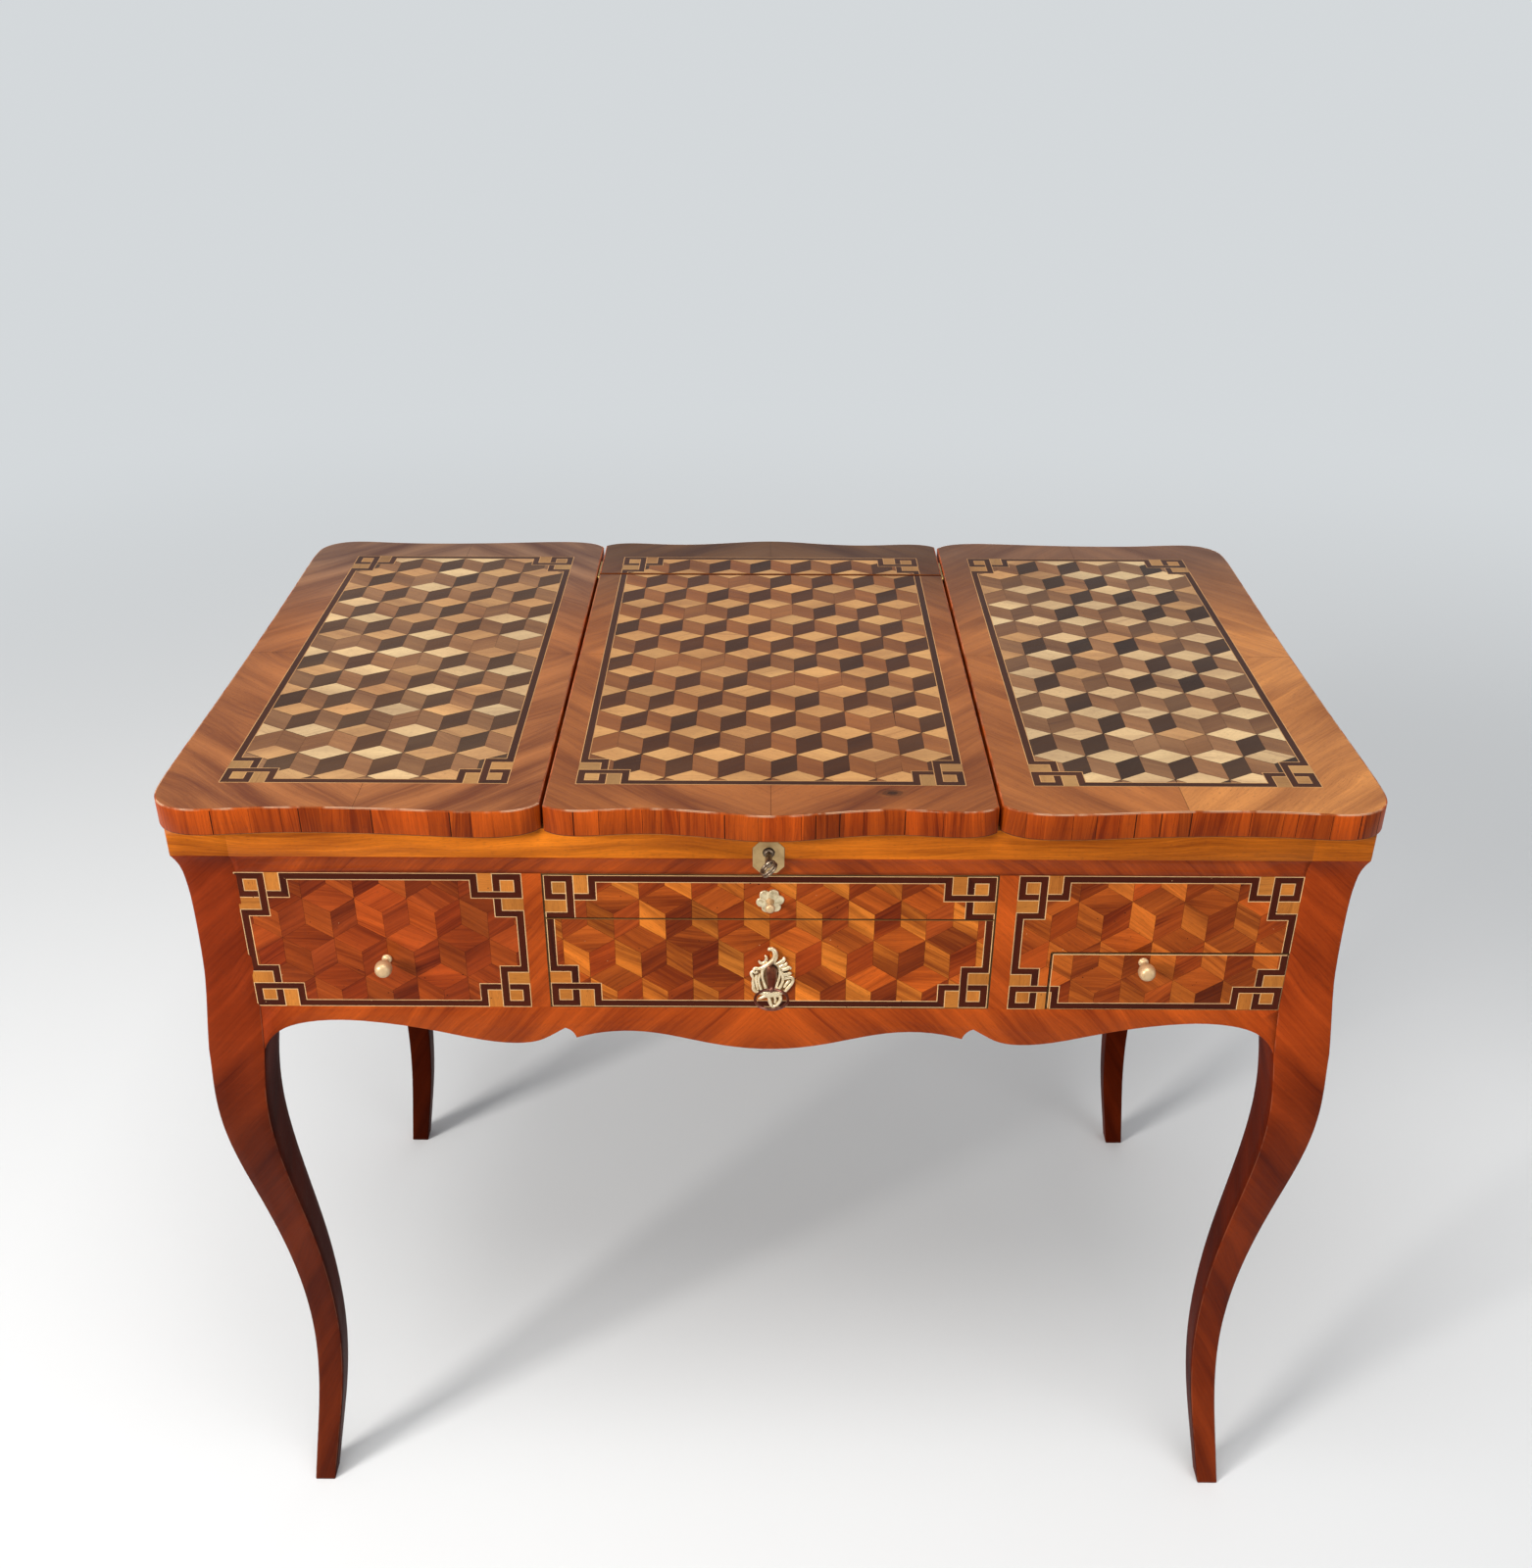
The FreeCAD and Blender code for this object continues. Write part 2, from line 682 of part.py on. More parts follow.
def make_lid():
    """Centre lid: bowed front, rear edge rounded about its pivots above and chamfered below."""
    right = bow_points(lid_bow_shares, 0, lid_half_x)
    front = [(-x, y) for x, y in reversed(right[1:])] + right
    corner = right[-1]
    edges = [spline(at(front, case_top)),
             line((corner[0], corner[1], case_top), (lid_half_x, lid_seam_y, case_top)),
             line((lid_half_x, lid_seam_y, case_top), (-lid_half_x, lid_seam_y, case_top)),
             line((-lid_half_x, lid_seam_y, case_top), (-corner[0], corner[1], case_top))]
    lid = top_solid(edges)
    lid = lid.cut(box(-top_half_x, top_half_x, pivot_y, lid_seam_y + overrun,
                      pivot_z, overall_height + overrun))
    lid = lid.fuse(Part.makeCylinder(pivot_inset, 2 * lid_half_x, Vector(-lid_half_x, pivot_y, pivot_z),
                                     Vector(1, 0, 0))).removeSplitter()
    chamfer = polygon(((-top_half_x, lid_seam_y, case_top),
                       (-top_half_x, lid_seam_y - pivot_inset, case_top),
                       (-top_half_x, lid_seam_y, case_top + pivot_inset)))
    lid = lid.cut(Part.Face(chamfer).extrude(Vector(top_width, 0, 0)))
    for side in (-1, 1):
        lid = lid.cut(pivot_bed(side))
    inner = bolt_front(-inside_y)
    half = bolt_width / 2 + strike_clearance
    lid = lid.cut(box(lid_key_x - half, lid_key_x + half, inner - strike_clearance,
                      inner + bolt_thickness + strike_clearance, case_top,
                      case_top + bolt_throw + strike_clearance))
    return lid.cut(strike_block(strike_thickness))


def strike_block(height):
    """Outline of the strike plate, sunk in the underside of the lid."""
    inner = bolt_front(-inside_y)
    half = bolt_width / 2 + strike_margin
    return box(lid_key_x - half, lid_key_x + half, inner - strike_margin / 2,
               inner + bolt_thickness + strike_margin / 2, case_top, case_top + height)


def make_strike():
    """Strike plate with the slot that the bolt enters."""
    inner = bolt_front(-inside_y)
    half = bolt_width / 2 + strike_clearance
    return strike_block(strike_thickness).cut(
        box(lid_key_x - half, lid_key_x + half, inner - strike_clearance,
            inner + bolt_thickness + strike_clearance, case_top - overrun, case_top + overrun))


def pivot_plate(x0, x1, y_far, clearance):
    """Flat pivot leaf: a strip ending in an eye round the pivot."""
    y_range = sorted((pivot_y, y_far))
    half = pivot_leaf_height / 2
    strip = box(x0, x1, y_range[0], y_range[1], pivot_z - half, pivot_z + half)
    eye = Part.makeCylinder(pivot_inset - pivot_leaf_sink + clearance, x1 - x0,
                            Vector(x0, pivot_y, pivot_z), Vector(1, 0, 0))
    return strip.fuse(eye).removeSplitter()


def pivot_bore(radius, x0, x1):
    """Round hole or stud along a pivot."""
    return Part.makeCylinder(radius, x1 - x0, Vector(x0, pivot_y, pivot_z), Vector(1, 0, 0))


def lid_leaf_range():
    """Inner and outer plane of the right pivot leaf in the lid."""
    outer = lid_half_x - pivot_leaf_sink
    return outer - pivot_leaf_thickness, outer


def pivot_bed(side):
    """Room for a pivot leaf and its stud in the end of the lid."""
    x0, x1 = lid_leaf_range()
    bed = pivot_plate(x0, lid_half_x + overrun, pivot_y - pivot_leaf_length, pivot_bed_clearance)
    stud = pivot_bore(pivot_stud_radius + pivot_end_clearance, x0 - pivot_stud_end - pivot_end_clearance,
                      lid_half_x)
    bed = bed.fuse(stud)
    return bed if side > 0 else mirrored_x(bed)


def make_lid_leaf():
    """Right pivot leaf let into the end of the lid."""
    x0, x1 = lid_leaf_range()
    leaf = pivot_plate(x0, x1, pivot_y - pivot_leaf_length, 0)
    return leaf.cut(pivot_bore(pivot_stud_radius + pivot_running, x0 - overrun, x1 + overrun))


def make_strip_leaf():
    """Right pivot leaf on the end of the rear strip, with the stud that the lid turns on."""
    x0 = strip_half_x
    leaf = pivot_plate(x0, x0 + pivot_leaf_thickness, pivot_y + pivot_leaf_length, 0)
    return leaf.fuse(pivot_bore(pivot_stud_radius, lid_leaf_range()[0] - pivot_stud_end, x0))


def make_rear_strip():
    """Fixed rear strip of the top, behind the lid."""
    right = bow_points(lid_bow_shares, 0, strip_half_x)
    rear = [(-x, -y) for x, y in reversed(right[1:])] + [(x, -y) for x, y in right]
    front_y = lid_seam_y + strip_gap
    corner = rear[-1]
    edges = [spline(at(rear, case_top)),
             line((corner[0], corner[1], case_top), (strip_half_x, front_y, case_top)),
             line((strip_half_x, front_y, case_top), (-strip_half_x, front_y, case_top)),
             line((-strip_half_x, front_y, case_top), (-corner[0], corner[1], case_top))]
    return top_solid(edges)


def make_mirror_frame():
    """Four mitred strips that hold the mirror under the lid."""
    half_x = opening_half_x - lid_bearer_width - mirror_frame_side_clearance
    y0 = -inside_y + mirror_frame_front_clearance
    y1 = pivot_y - mirror_frame_rear_clearance
    z0 = case_top - mirror_frame_thickness
    width = mirror_frame_width
    outer = ((-half_x, y0), (half_x, y0), (half_x, y1), (-half_x, y1))
    inner = ((-half_x + width, y0 + width), (half_x - width, y0 + width),
             (half_x - width, y1 - width), (-half_x + width, y1 - width))
    rebate = box(inner[0][0] - mirror_rebate, inner[1][0] + mirror_rebate,
                 inner[0][1] - mirror_rebate, inner[2][1] + mirror_rebate,
                 case_top - mirror_thickness - mirror_edge_clearance, case_top + overrun)
    strips = []
    for index in range(len(outer)):
        following = (index + 1) % len(outer)
        corners = (outer[index], outer[following], inner[following], inner[index])
        strip = Part.Face(polygon(at(corners, z0))).extrude(Vector(0, 0, mirror_frame_thickness))
        strips.append(strip.cut(rebate))
    return strips


def make_mirror_glass():
    """Mirror plate with a bevelled border, lying against the lid."""
    half_x = (opening_half_x - lid_bearer_width - mirror_frame_side_clearance
              - mirror_frame_width + mirror_rebate - mirror_edge_clearance)
    y0 = (-inside_y + mirror_frame_front_clearance + mirror_frame_width - mirror_rebate
          + mirror_edge_clearance)
    y1 = (pivot_y - mirror_frame_rear_clearance - mirror_frame_width + mirror_rebate
          - mirror_edge_clearance)
    z0 = case_top - mirror_thickness
    z1 = z0 + mirror_bevel_depth
    inset = mirror_bevel_width
    face = polygon(((inset - half_x, y0 + inset, z0), (half_x - inset, y0 + inset, z0),
                    (half_x - inset, y1 - inset, z0), (inset - half_x, y1 - inset, z0)))
    edge = polygon(((-half_x, y0, z1), (half_x, y0, z1), (half_x, y1, z1), (-half_x, y1, z1)))
    bevel = Part.makeLoft([face, edge], True, True)
    return bevel.fuse(box(-half_x, half_x, y0, y1, z1, case_top))


def make_slide_board():
    """Board of the writing slide, with a bed for its leather."""
    half_x = opening_half_x - slide_side_clearance
    y0 = -case_half_y + slide_front_thickness
    z0 = slide_seam_z + front_gap / 2 + divider_thickness + slide_clearance
    board = box(-half_x, half_x, y0, inside_y - slide_rear_clearance, z0, z0 + slide_thickness)
    return board.cut(make_leather())


def make_leather():
    """Leather let in flush with the top of the slide."""
    half_x = opening_half_x - leather_margin
    y0 = -case_half_y + slide_front_thickness + leather_front_margin
    y1 = inside_y - slide_rear_clearance - leather_rear_margin
    z1 = (slide_seam_z + front_gap / 2 + divider_thickness + slide_clearance + slide_thickness)
    return box(-half_x, half_x, y0, y1, z1 - leather_thickness, z1)


def make_slide_front():
    """Front of the writing slide."""
    half_x = opening_half_x - front_gap
    return box(-half_x, half_x, -case_half_y, -case_half_y + slide_front_thickness,
               slide_seam_z + front_gap / 2, frieze_top - front_gap / 2)


def dovetailed_side(x0, x1, base, end, z0, z1):
    """Drawer side from base to end, with tails that reach forward into the drawer front."""
    side = box(x0, x1, base, end, z0, z1)
    count = max(2, round((z1 - z0) / tail_pitch))
    pitch = (z1 - z0) / count
    for index in range(count):
        middle = z0 + (index + 0.5) * pitch
        wide = tail_share * pitch / 2
        narrow = wide - tail_slope * drawer_lap
        tail = polygon(((x0, base, middle - narrow), (x0, base, middle + narrow),
                        (x0, base - drawer_lap, middle + wide),
                        (x0, base - drawer_lap, middle - wide)))
        side = side.fuse(Part.Face(tail).extrude(Vector(x1 - x0, 0, 0)))
    return side.removeSplitter()


def drawer_pieces(x0, x1, z1, side_thickness, side_drop):
    """Front, sides, back and bottom of a drawer whose front fills x0 to x1 up to z1."""
    z0 = frieze_bottom + front_gap / 2
    face = -case_half_y
    rear = face + drawer_front_thickness
    end = inside_y - drawer_rear_clearance
    side_x0 = x0 + drawer_side_clearance
    side_x1 = x1 - drawer_side_clearance
    side_top = z1 - side_drop
    floor_z0 = z0 + drawer_floor_height
    floor_z1 = floor_z0 + drawer_floor_thickness
    floor = box(side_x0 + side_thickness - drawer_groove, side_x1 - side_thickness + drawer_groove,
                rear - drawer_groove, end, floor_z0, floor_z1)
    groove = box(side_x0 + side_thickness - drawer_groove - groove_clearance,
                 side_x1 - side_thickness + drawer_groove + groove_clearance,
                 rear - drawer_groove - groove_clearance, end + overrun, floor_z0, floor_z1)
    left = dovetailed_side(side_x0, side_x0 + side_thickness, rear, end, z0, side_top)
    right = dovetailed_side(side_x1 - side_thickness, side_x1, rear, end, z0, side_top)
    front = box(x0, x1, face, rear, z0, z1)
    back = box(side_x0 + side_thickness, side_x1 - side_thickness, end - drawer_back_thickness,
               end, floor_z1, side_top - drawer_back_drop)
    return {"front": front.cut(left).cut(right).cut(groove),
            "side_left": left.cut(groove), "side_right": right.cut(groove),
            "back": back, "bottom": floor}


def make_centre_drawer():
    """Pieces of the drawer under the writing slide, its front bored and pocketed for the lock."""
    half_x = opening_half_x - front_gap
    top = slide_seam_z - front_gap / 2
    pieces = drawer_pieces(-half_x, half_x, top, drawer_side_thickness, drawer_side_drop)
    rear = -case_half_y + drawer_front_thickness
    passage = keyhole(drawer_key_x, drawer_key_z, drawer_shank_radius + keyhole_clearance,
                      drawer_bit_reach, -case_half_y - overrun, rear)
    half = drawer_lock_width / 2 + lock_clearance
    pocket = box(drawer_key_x - half, drawer_key_x + half, rear - drawer_lock_depth, rear + overrun,
                 drawer_key_z - drawer_lock_below_key - lock_clearance, top + overrun)
    pieces["front"] = pieces["front"].cut(passage).cut(pocket)
    return pieces


def make_small_drawer():
    """Pieces of the small drawer on the right."""
    return drawer_pieces(small_opening_x + front_gap / 2, post_inner_x - front_gap / 2,
                         small_drawer_top - front_gap / 2, small_side_thickness, small_side_drop)


def make_lock(x, key_z, width, depth, below, rear, top, shank_radius, reach):
    """Hollow lock case with a keyhole in front and a slot for its bolt in the top edge."""
    half = width / 2
    z0 = key_z - below
    case = box(x - half, x + half, rear - depth, rear, z0, top)
    hollow = box(x - half + lock_wall, x + half - lock_wall, rear - depth + lock_wall,
                 rear - lock_wall, z0 + lock_wall, top - lock_wall)
    bolt_y = bolt_front(rear)
    half_slot = bolt_width / 2 + lock_clearance
    slot = box(x - half_slot, x + half_slot, bolt_y - lock_clearance,
               bolt_y + bolt_thickness + lock_clearance, top - lock_wall - overrun, top + overrun)
    passage = keyhole(x, key_z, shank_radius + key_running, reach, rear - depth - overrun,
                      rear - depth + lock_wall)
    return case.cut(hollow).cut(slot).cut(passage)


def make_bolt(x, key_z, rear, top, reach):
    """Bolt of a lock, drawn back, its lower end just above the sweep of the key's bit."""
    half = bolt_width / 2
    y0 = bolt_front(rear)
    return box(x - half, x + half, y0, y0 + bolt_thickness,
               key_z + reach + bolt_bit_clearance, top - bolt_retreat)


def make_key(x, z, face, rear, shank_radius, bit_reach, ring_outer, ring_wire, reach, turn):
    """Key in its lock: ring bow outside, collar, shank, and bit inside the lock case."""
    ring_middle = face - reach + ring_outer / 2
    ring_radius = (ring_outer - ring_wire) / 2
    tip = rear - lock_wall - bit_setback
    shank = cylinder_y(shank_radius, x, z, ring_middle + ring_radius, tip)
    ring = Part.makeTorus(ring_radius, ring_wire / 2, Vector(x, ring_middle, z), Vector(0, 0, 1))
    collar_y = face - collar_gap - collar_length
    collar = cylinder_y(shank_radius + collar_proud, x, z, collar_y, collar_y + collar_length)
    bit = box(x, x + bit_reach, tip - bit_length, tip, z - bit_thickness / 2, z + bit_thickness / 2)
    key = shank.fuse(ring).fuse(collar).fuse(bit)
    key.rotate(Vector(x, ring_middle, z), Vector(0, -1, 0), turn)
    return key


def make_ball_knob(x):
    """Ball on a neck and a small base, turned about Y."""
    face = -case_half_y
    neck_y = -math.sqrt(knob_ball_radius ** 2 - knob_neck_radius ** 2)
    ball_y = face - knob_base_thickness - knob_neck_length + neck_y
    outline = [line((0, face, 0), (knob_base_radius, face, 0)),
               line((knob_base_radius, face, 0), (knob_base_radius, face - knob_base_thickness, 0)),
               line((knob_base_radius, face - knob_base_thickness, 0),
                    (knob_neck_radius, face - 2 * knob_base_thickness, 0)),
               line((knob_neck_radius, face - 2 * knob_base_thickness, 0),
                    (knob_neck_radius, ball_y - neck_y, 0)),
               Part.Arc(Vector(knob_neck_radius, ball_y - neck_y, 0),
                        Vector(knob_ball_radius, ball_y, 0),
                        Vector(0, ball_y - knob_ball_radius, 0)).toShape(),
               line((0, ball_y - knob_ball_radius, 0), (0, face, 0))]
    knob = Part.Face(Part.Wire(outline)).revolve(Vector(0, 0, 0), Vector(0, 1, 0), 2 * half_turn)
    return knob.translated(Vector(x, 0, knob_z))


def make_slide_knob():
    """Six-petalled rosette with a small waisted knob, cast in one piece."""
    face = -case_half_y
    edges = []
    for index in range(rosette_petals):
        corners = []
        for share, radius in ((-0.5, petal_valley), (0, petal_tip), (0.5, petal_valley)):
            angle = 2 * math.pi * (index + share) / rosette_petals
            corners.append(Vector(radius * math.cos(angle), face - rosette_thickness,
                                  slide_knob_z + radius * math.sin(angle)))
        edges.append(Part.Arc(*corners).toShape())
    rosette = prism(edges, (0, rosette_thickness, 0))
    tip = face - slide_knob_length
    brim = tip + slide_dome_height
    waist = (face - rosette_thickness + brim) / 2
    dome_radius = (slide_head_radius ** 2 + slide_dome_height ** 2) / (2 * slide_dome_height)
    half_angle = math.asin(slide_head_radius / dome_radius) / 2
    dome_middle = Vector(dome_radius * math.sin(half_angle),
                         tip + dome_radius * (1 - math.cos(half_angle)), 0)
    outline = [line((0, face, 0), (slide_head_radius, face, 0)),
               line((slide_head_radius, face, 0), (slide_head_radius, face - rosette_thickness, 0)),
               Part.Arc(Vector(slide_head_radius, face - rosette_thickness, 0),
                        Vector(slide_neck_radius, waist, 0),
                        Vector(slide_head_radius, brim, 0)).toShape(),
               Part.Arc(Vector(slide_head_radius, brim, 0), dome_middle,
                        Vector(0, tip, 0)).toShape(),
               line((0, tip, 0), (0, face, 0))]
    knob = Part.Face(Part.Wire(outline)).revolve(Vector(0, 0, 0), Vector(0, 1, 0), 2 * half_turn)
    return rosette.fuse(knob.translated(Vector(0, 0, slide_knob_z)))


def build_case():
    """Fixed frame of the table."""
    leg = make_leg()
    save("leg_front_left", leg)
    save("leg_front_right", mirrored_x(leg))
    save("leg_rear_left", mirrored_y(leg))
    save("leg_rear_right", mirrored_x(mirrored_y(leg)))
    save("front_top_rail", make_top_rail())
    save("front_apron", make_front_apron())
    save("side_board_left", make_side(-1))
    save("side_board_right", make_side(1))
    save("back_board", make_back())
    partition = make_partition()
    save("partition_right", partition)
    save("partition_left", mirrored_x(partition))
    save("left_front_panel", box(-post_inner_x, -panel_inner_x, -case_half_y, -inside_y,
                                 frieze_bottom, frieze_top))
    save("right_front_panel", box(panel_inner_x, post_inner_x, -case_half_y, -inside_y,
                                  small_drawer_top, frieze_top))
    save("right_drawer_stile", box(panel_inner_x, small_opening_x, -case_half_y, -inside_y,
                                   frieze_bottom, small_drawer_top))
    save("case_bottom", make_case_bottom())
    save("right_well_floor", make_right_well_floor())
    floor_top = frieze_top + well_floor_thickness
    save("centre_well_floor", box(-opening_half_x, opening_half_x, -inside_y, inside_y,
                                  frieze_top, floor_top))
    bearer = box(opening_half_x - lid_bearer_width, opening_half_x, -inside_y, inside_y,
                 floor_top, case_top)
    save("lid_bearer_right", bearer)
    save("lid_bearer_left", mirrored_x(bearer))
    save("slide_divider", make_divider())
    save("drawer_guides", *make_guides())
    save("top_rear_strip", make_rear_strip())
    save("false_drawer_knob", make_ball_knob(left_knob_x))
    save("lid_key_plate", make_lid_plate())
    save("lid_lock_case", make_lock(lid_key_x, lid_key_z, lid_lock_width, lid_lock_depth,
                                    lid_lock_below_key, -inside_y, case_top, lid_shank_radius,
                                    lid_bit_reach))


def build_top():
    """Lid with its mirror and pivots, and the two flaps with their hinges."""
    save("lid_panel", make_lid())
    save("mirror_frame", *make_mirror_frame())
    save("mirror_glass", make_mirror_glass())
    save("lid_strike_plate", make_strike())
    lid_leaf = make_lid_leaf()
    save("lid_pivot_leaves", lid_leaf, mirrored_x(lid_leaf))
    strip_leaf = make_strip_leaf()
    save("strip_pivot_leaves", strip_leaf, mirrored_x(strip_leaf))
    flap = make_flap()
    save("right_flap", flap)
    save("left_flap", mirrored_x(flap))
    places = (-hinge_place_y, hinge_place_y)
    for name, make in (("case_leaves", make_case_leaf), ("flap_leaves", make_flap_leaf),
                       ("pins", make_hinge_pin)):
        pieces = [make(place) for place in places]
        save("right_hinge_" + name, *pieces)
        save("left_hinge_" + name, *[mirrored_x(piece) for piece in pieces])


def build_fronts():
    """Writing slide, drawers, locks, bolts, keys and knobs."""
    save("slide_board", make_slide_board())
    save("slide_front", make_slide_front())
    save("slide_leather", make_leather())
    save("slide_knob", make_slide_knob())
    for name, piece in make_centre_drawer().items():
        save("centre_drawer_" + name, piece)
    for name, piece in make_small_drawer().items():
        save("small_drawer_" + name, piece)
    save("small_drawer_knob", make_ball_knob(right_knob_x))
    save("drawer_key_plate", make_rocaille_plate())
    drawer_rear = -case_half_y + drawer_front_thickness
    drawer_top = slide_seam_z - front_gap / 2
    save("drawer_lock_case", make_lock(drawer_key_x, drawer_key_z, drawer_lock_width,
                                       drawer_lock_depth, drawer_lock_below_key, drawer_rear,
                                       drawer_top, drawer_shank_radius, drawer_bit_reach))
    save("lid_bolt", make_bolt(lid_key_x, lid_key_z, -inside_y, case_top, lid_bit_reach))
    save("drawer_bolt", make_bolt(drawer_key_x, drawer_key_z, drawer_rear, drawer_top,
                                  drawer_bit_reach))
    save("lid_key", make_key(lid_key_x, lid_key_z, -band_face_y - plate_proud, -inside_y,
                             lid_shank_radius, lid_bit_reach, lid_ring_outer, lid_ring_wire,
                             lid_key_reach, lid_key_turn))
    save("drawer_key", make_key(drawer_key_x, drawer_key_z, -case_half_y - rocaille_thickness,
                                drawer_rear, drawer_shank_radius, drawer_bit_reach,
                                drawer_ring_outer, drawer_ring_wire, drawer_key_reach, 0))


build_case()
build_top()
build_fronts()
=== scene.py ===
import math
import operator
import random
from collections import namedtuple

import bmesh
import bpy
import numpy as np
from mathutils import Matrix, Vector
from mathutils.geometry import tessellate_polygon


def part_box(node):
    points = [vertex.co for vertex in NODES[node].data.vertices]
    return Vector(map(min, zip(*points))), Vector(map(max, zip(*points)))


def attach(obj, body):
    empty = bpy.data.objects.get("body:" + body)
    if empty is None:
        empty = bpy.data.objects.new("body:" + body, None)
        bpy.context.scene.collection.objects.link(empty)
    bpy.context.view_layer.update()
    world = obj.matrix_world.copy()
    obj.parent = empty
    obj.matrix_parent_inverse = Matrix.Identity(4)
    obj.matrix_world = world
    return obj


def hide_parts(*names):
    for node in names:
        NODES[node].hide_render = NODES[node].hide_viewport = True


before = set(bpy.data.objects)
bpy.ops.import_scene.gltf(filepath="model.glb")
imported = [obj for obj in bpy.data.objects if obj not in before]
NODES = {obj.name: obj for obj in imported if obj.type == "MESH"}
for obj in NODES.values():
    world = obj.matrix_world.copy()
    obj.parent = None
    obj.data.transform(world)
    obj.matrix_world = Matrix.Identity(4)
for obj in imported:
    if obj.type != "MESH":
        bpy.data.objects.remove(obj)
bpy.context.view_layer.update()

# Looks of a poudreuse, a French lady's dressing table veneered in cube parquetry.
# Lengths below are millimetres and MM turns them into metres. Plan and front coordinates are
# measured from the middle of the case, which lies CENTRE_Y behind the frame's origin.
MM = 0.001


def low(node):
    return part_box(node)[0] / MM


def high(node):
    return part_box(node)[1] / MM


# Places taken from the frame
CENTRE_Y = (low("left_flap").y + high("left_flap").y) / 2
TOP_Z = high("lid_panel").z
CASE_TOP = low("lid_panel").z
FACE_Y = low("left_front_panel").y
FRIEZE_BOTTOM = low("left_front_panel").z
FRIEZE_TOP = high("left_front_panel").z
POST_INNER_X = high("right_front_panel").x
PANEL_INNER_X = low("right_front_panel").x
SLIDE_HALF_X = high("slide_front").x
LID_HALF_X = high("lid_panel").x
LID_SEAM_Y = high("lid_panel").y - CENTRE_Y
STRIP_FRONT_Y = low("top_rear_strip").y - CENTRE_Y
SIDE_FACE_X = high("right_front_panel").x + 36.0
POST_INNER_Y = high("side_board_left").y - CENTRE_Y
BAND_BOTTOM = CASE_TOP - 24.0

# Veneer layers, as heights over the ground that shows in the joints
GROUND, FIELD, INLAY, CROSSING, JOINT = 0.0, 0.04, 0.06, 0.07, 0.08
JOINT_GAP = 0.16
SHADOW_GAP = 0.34

# Fret border: a dark band between two strings, looped over itself at each corner
FRET_WIDTH = 6.3
FRET_CORE = 5.1
FRET_LOOP = 21.8
FRET_STUB = 31.8

# Cube parquetry: width and short diagonal of the light rhombus, height of the upright sides
TOP_CUBE = (38.1, 22.3, 24.5)
FLAP_CUBE = (38.8, 22.3, 24.5)
FRONT_CUBE = (38.2, 25.0, 22.5)
TOP_FIRST_ROW = 215.9
TOP_ROWS = 13
FRONT_ROWS = (680.5, 645.5, 610.5, 575.5, 540.5)
FRET_OVERLAP = 1.8
# How far the cubes reach under the fret, and how far their corners stray
CUBE_LAP = 0.4
JITTER = 0.28
TOP_FRET_HALF_X = 139.4
TOP_FRET_HALF_Y = 222.1
FLAP_FRET_X = (187.4, 393.3)
FLAP_CUBE_X = 290.35

# Veneers smaller than this, in square millimetres, are left out
SMALLEST_PIECE = 0.02

rng = random.Random(7)


def srgb(code):
    """Linear colour of a hexadecimal one."""
    parts = [int(code[i:i + 2], 16) / 255 for i in (1, 3, 5)]
    return tuple(p / 12.92 if p <= 0.04045 else ((p + 0.055) / 1.055) ** 2.4 for p in parts)


# Woods as they look under wax: tone, depth of figure, share of fine lines in it, wear and shine
Wood = namedtuple("Wood", "tone streak fine wear shine", defaults=(0.0, 1.0))
TOP_SHINE, FRONT_SHINE, LEG_SHINE, INNER_SHINE = 0.5, 0.40, 0.25, 0.05


def leaf(code, streak, fine, shine=TOP_SHINE):
    """A wood from its colour, the depth of its figure and the share of fine lines in it."""
    return Wood(srgb(code), streak, fine, 0.0, shine)


# Dark ground that shows in the joints and worm holes, also painted as the shadow line under the
# edges of the top
GROUND_AND_SHADOW_WOOD = leaf("#1c100a", 0.1, 0.5, LEG_SHINE)
JOINT_WOOD = leaf("#30140a", 0.1, 0.5, LEG_SHINE)
# Near-black for seams widened into painted shadow lines, and for the painted shade in the keyhole
SEAM_AND_SHADOW_WOOD = leaf("#060302", 0.0, 0.5, LEG_SHINE)
SHADED_WOOD = leaf("#4a1c0b", 0.5, 0.6, LEG_SHINE)
RIM_WOOD = leaf("#8a5530", 0.5, 0.6, LEG_SHINE)
LINING_WOOD = leaf("#94693f", 0.28, 0.7, LEG_SHINE)
TOP_FRET = leaf("#42200f", 0.30, 0.8)
FRONT_FRET = leaf("#481706", 0.40, 0.8, FRONT_SHINE)
TOP_STRING = leaf("#cf9a6c", 0.15, 0.5)
FRONT_STRING = leaf("#efc093", 0.15, 0.5, FRONT_SHINE)
BAND_WOODS = {"lid": leaf("#9c5a32", 0.85, 0.40), "left": leaf("#9e5f3a", 0.95, 0.40),
              "right": leaf("#bc7846", 0.75, 0.45)}
# Painted shade and painted greyish reflection: the bands turn darker and greyer towards the rear,
# from one place behind the middle to another
REAR_SHADE_TONES = {"lid": srgb("#65432f"), "left": srgb("#86604e"), "right": srgb("#764f3e")}
REAR_SHADE_START, REAR_SHADE_END = 40.0, 225.0
INNER_BAND_SHARE = 0.85
EDGE_WOOD = leaf("#a94511", 0.75, 1.00, FRONT_SHINE)
MOULD_WOOD = leaf("#cf6e1b", 0.80, 0.70, FRONT_SHINE)
APRON_WOOD = leaf("#b44c18", 0.80, 0.55, FRONT_SHINE)
POST_WOOD = {-1: leaf("#8c3213", 0.75, 0.45, LEG_SHINE), 1: leaf("#a54016", 0.85, 0.45, LEG_SHINE)}
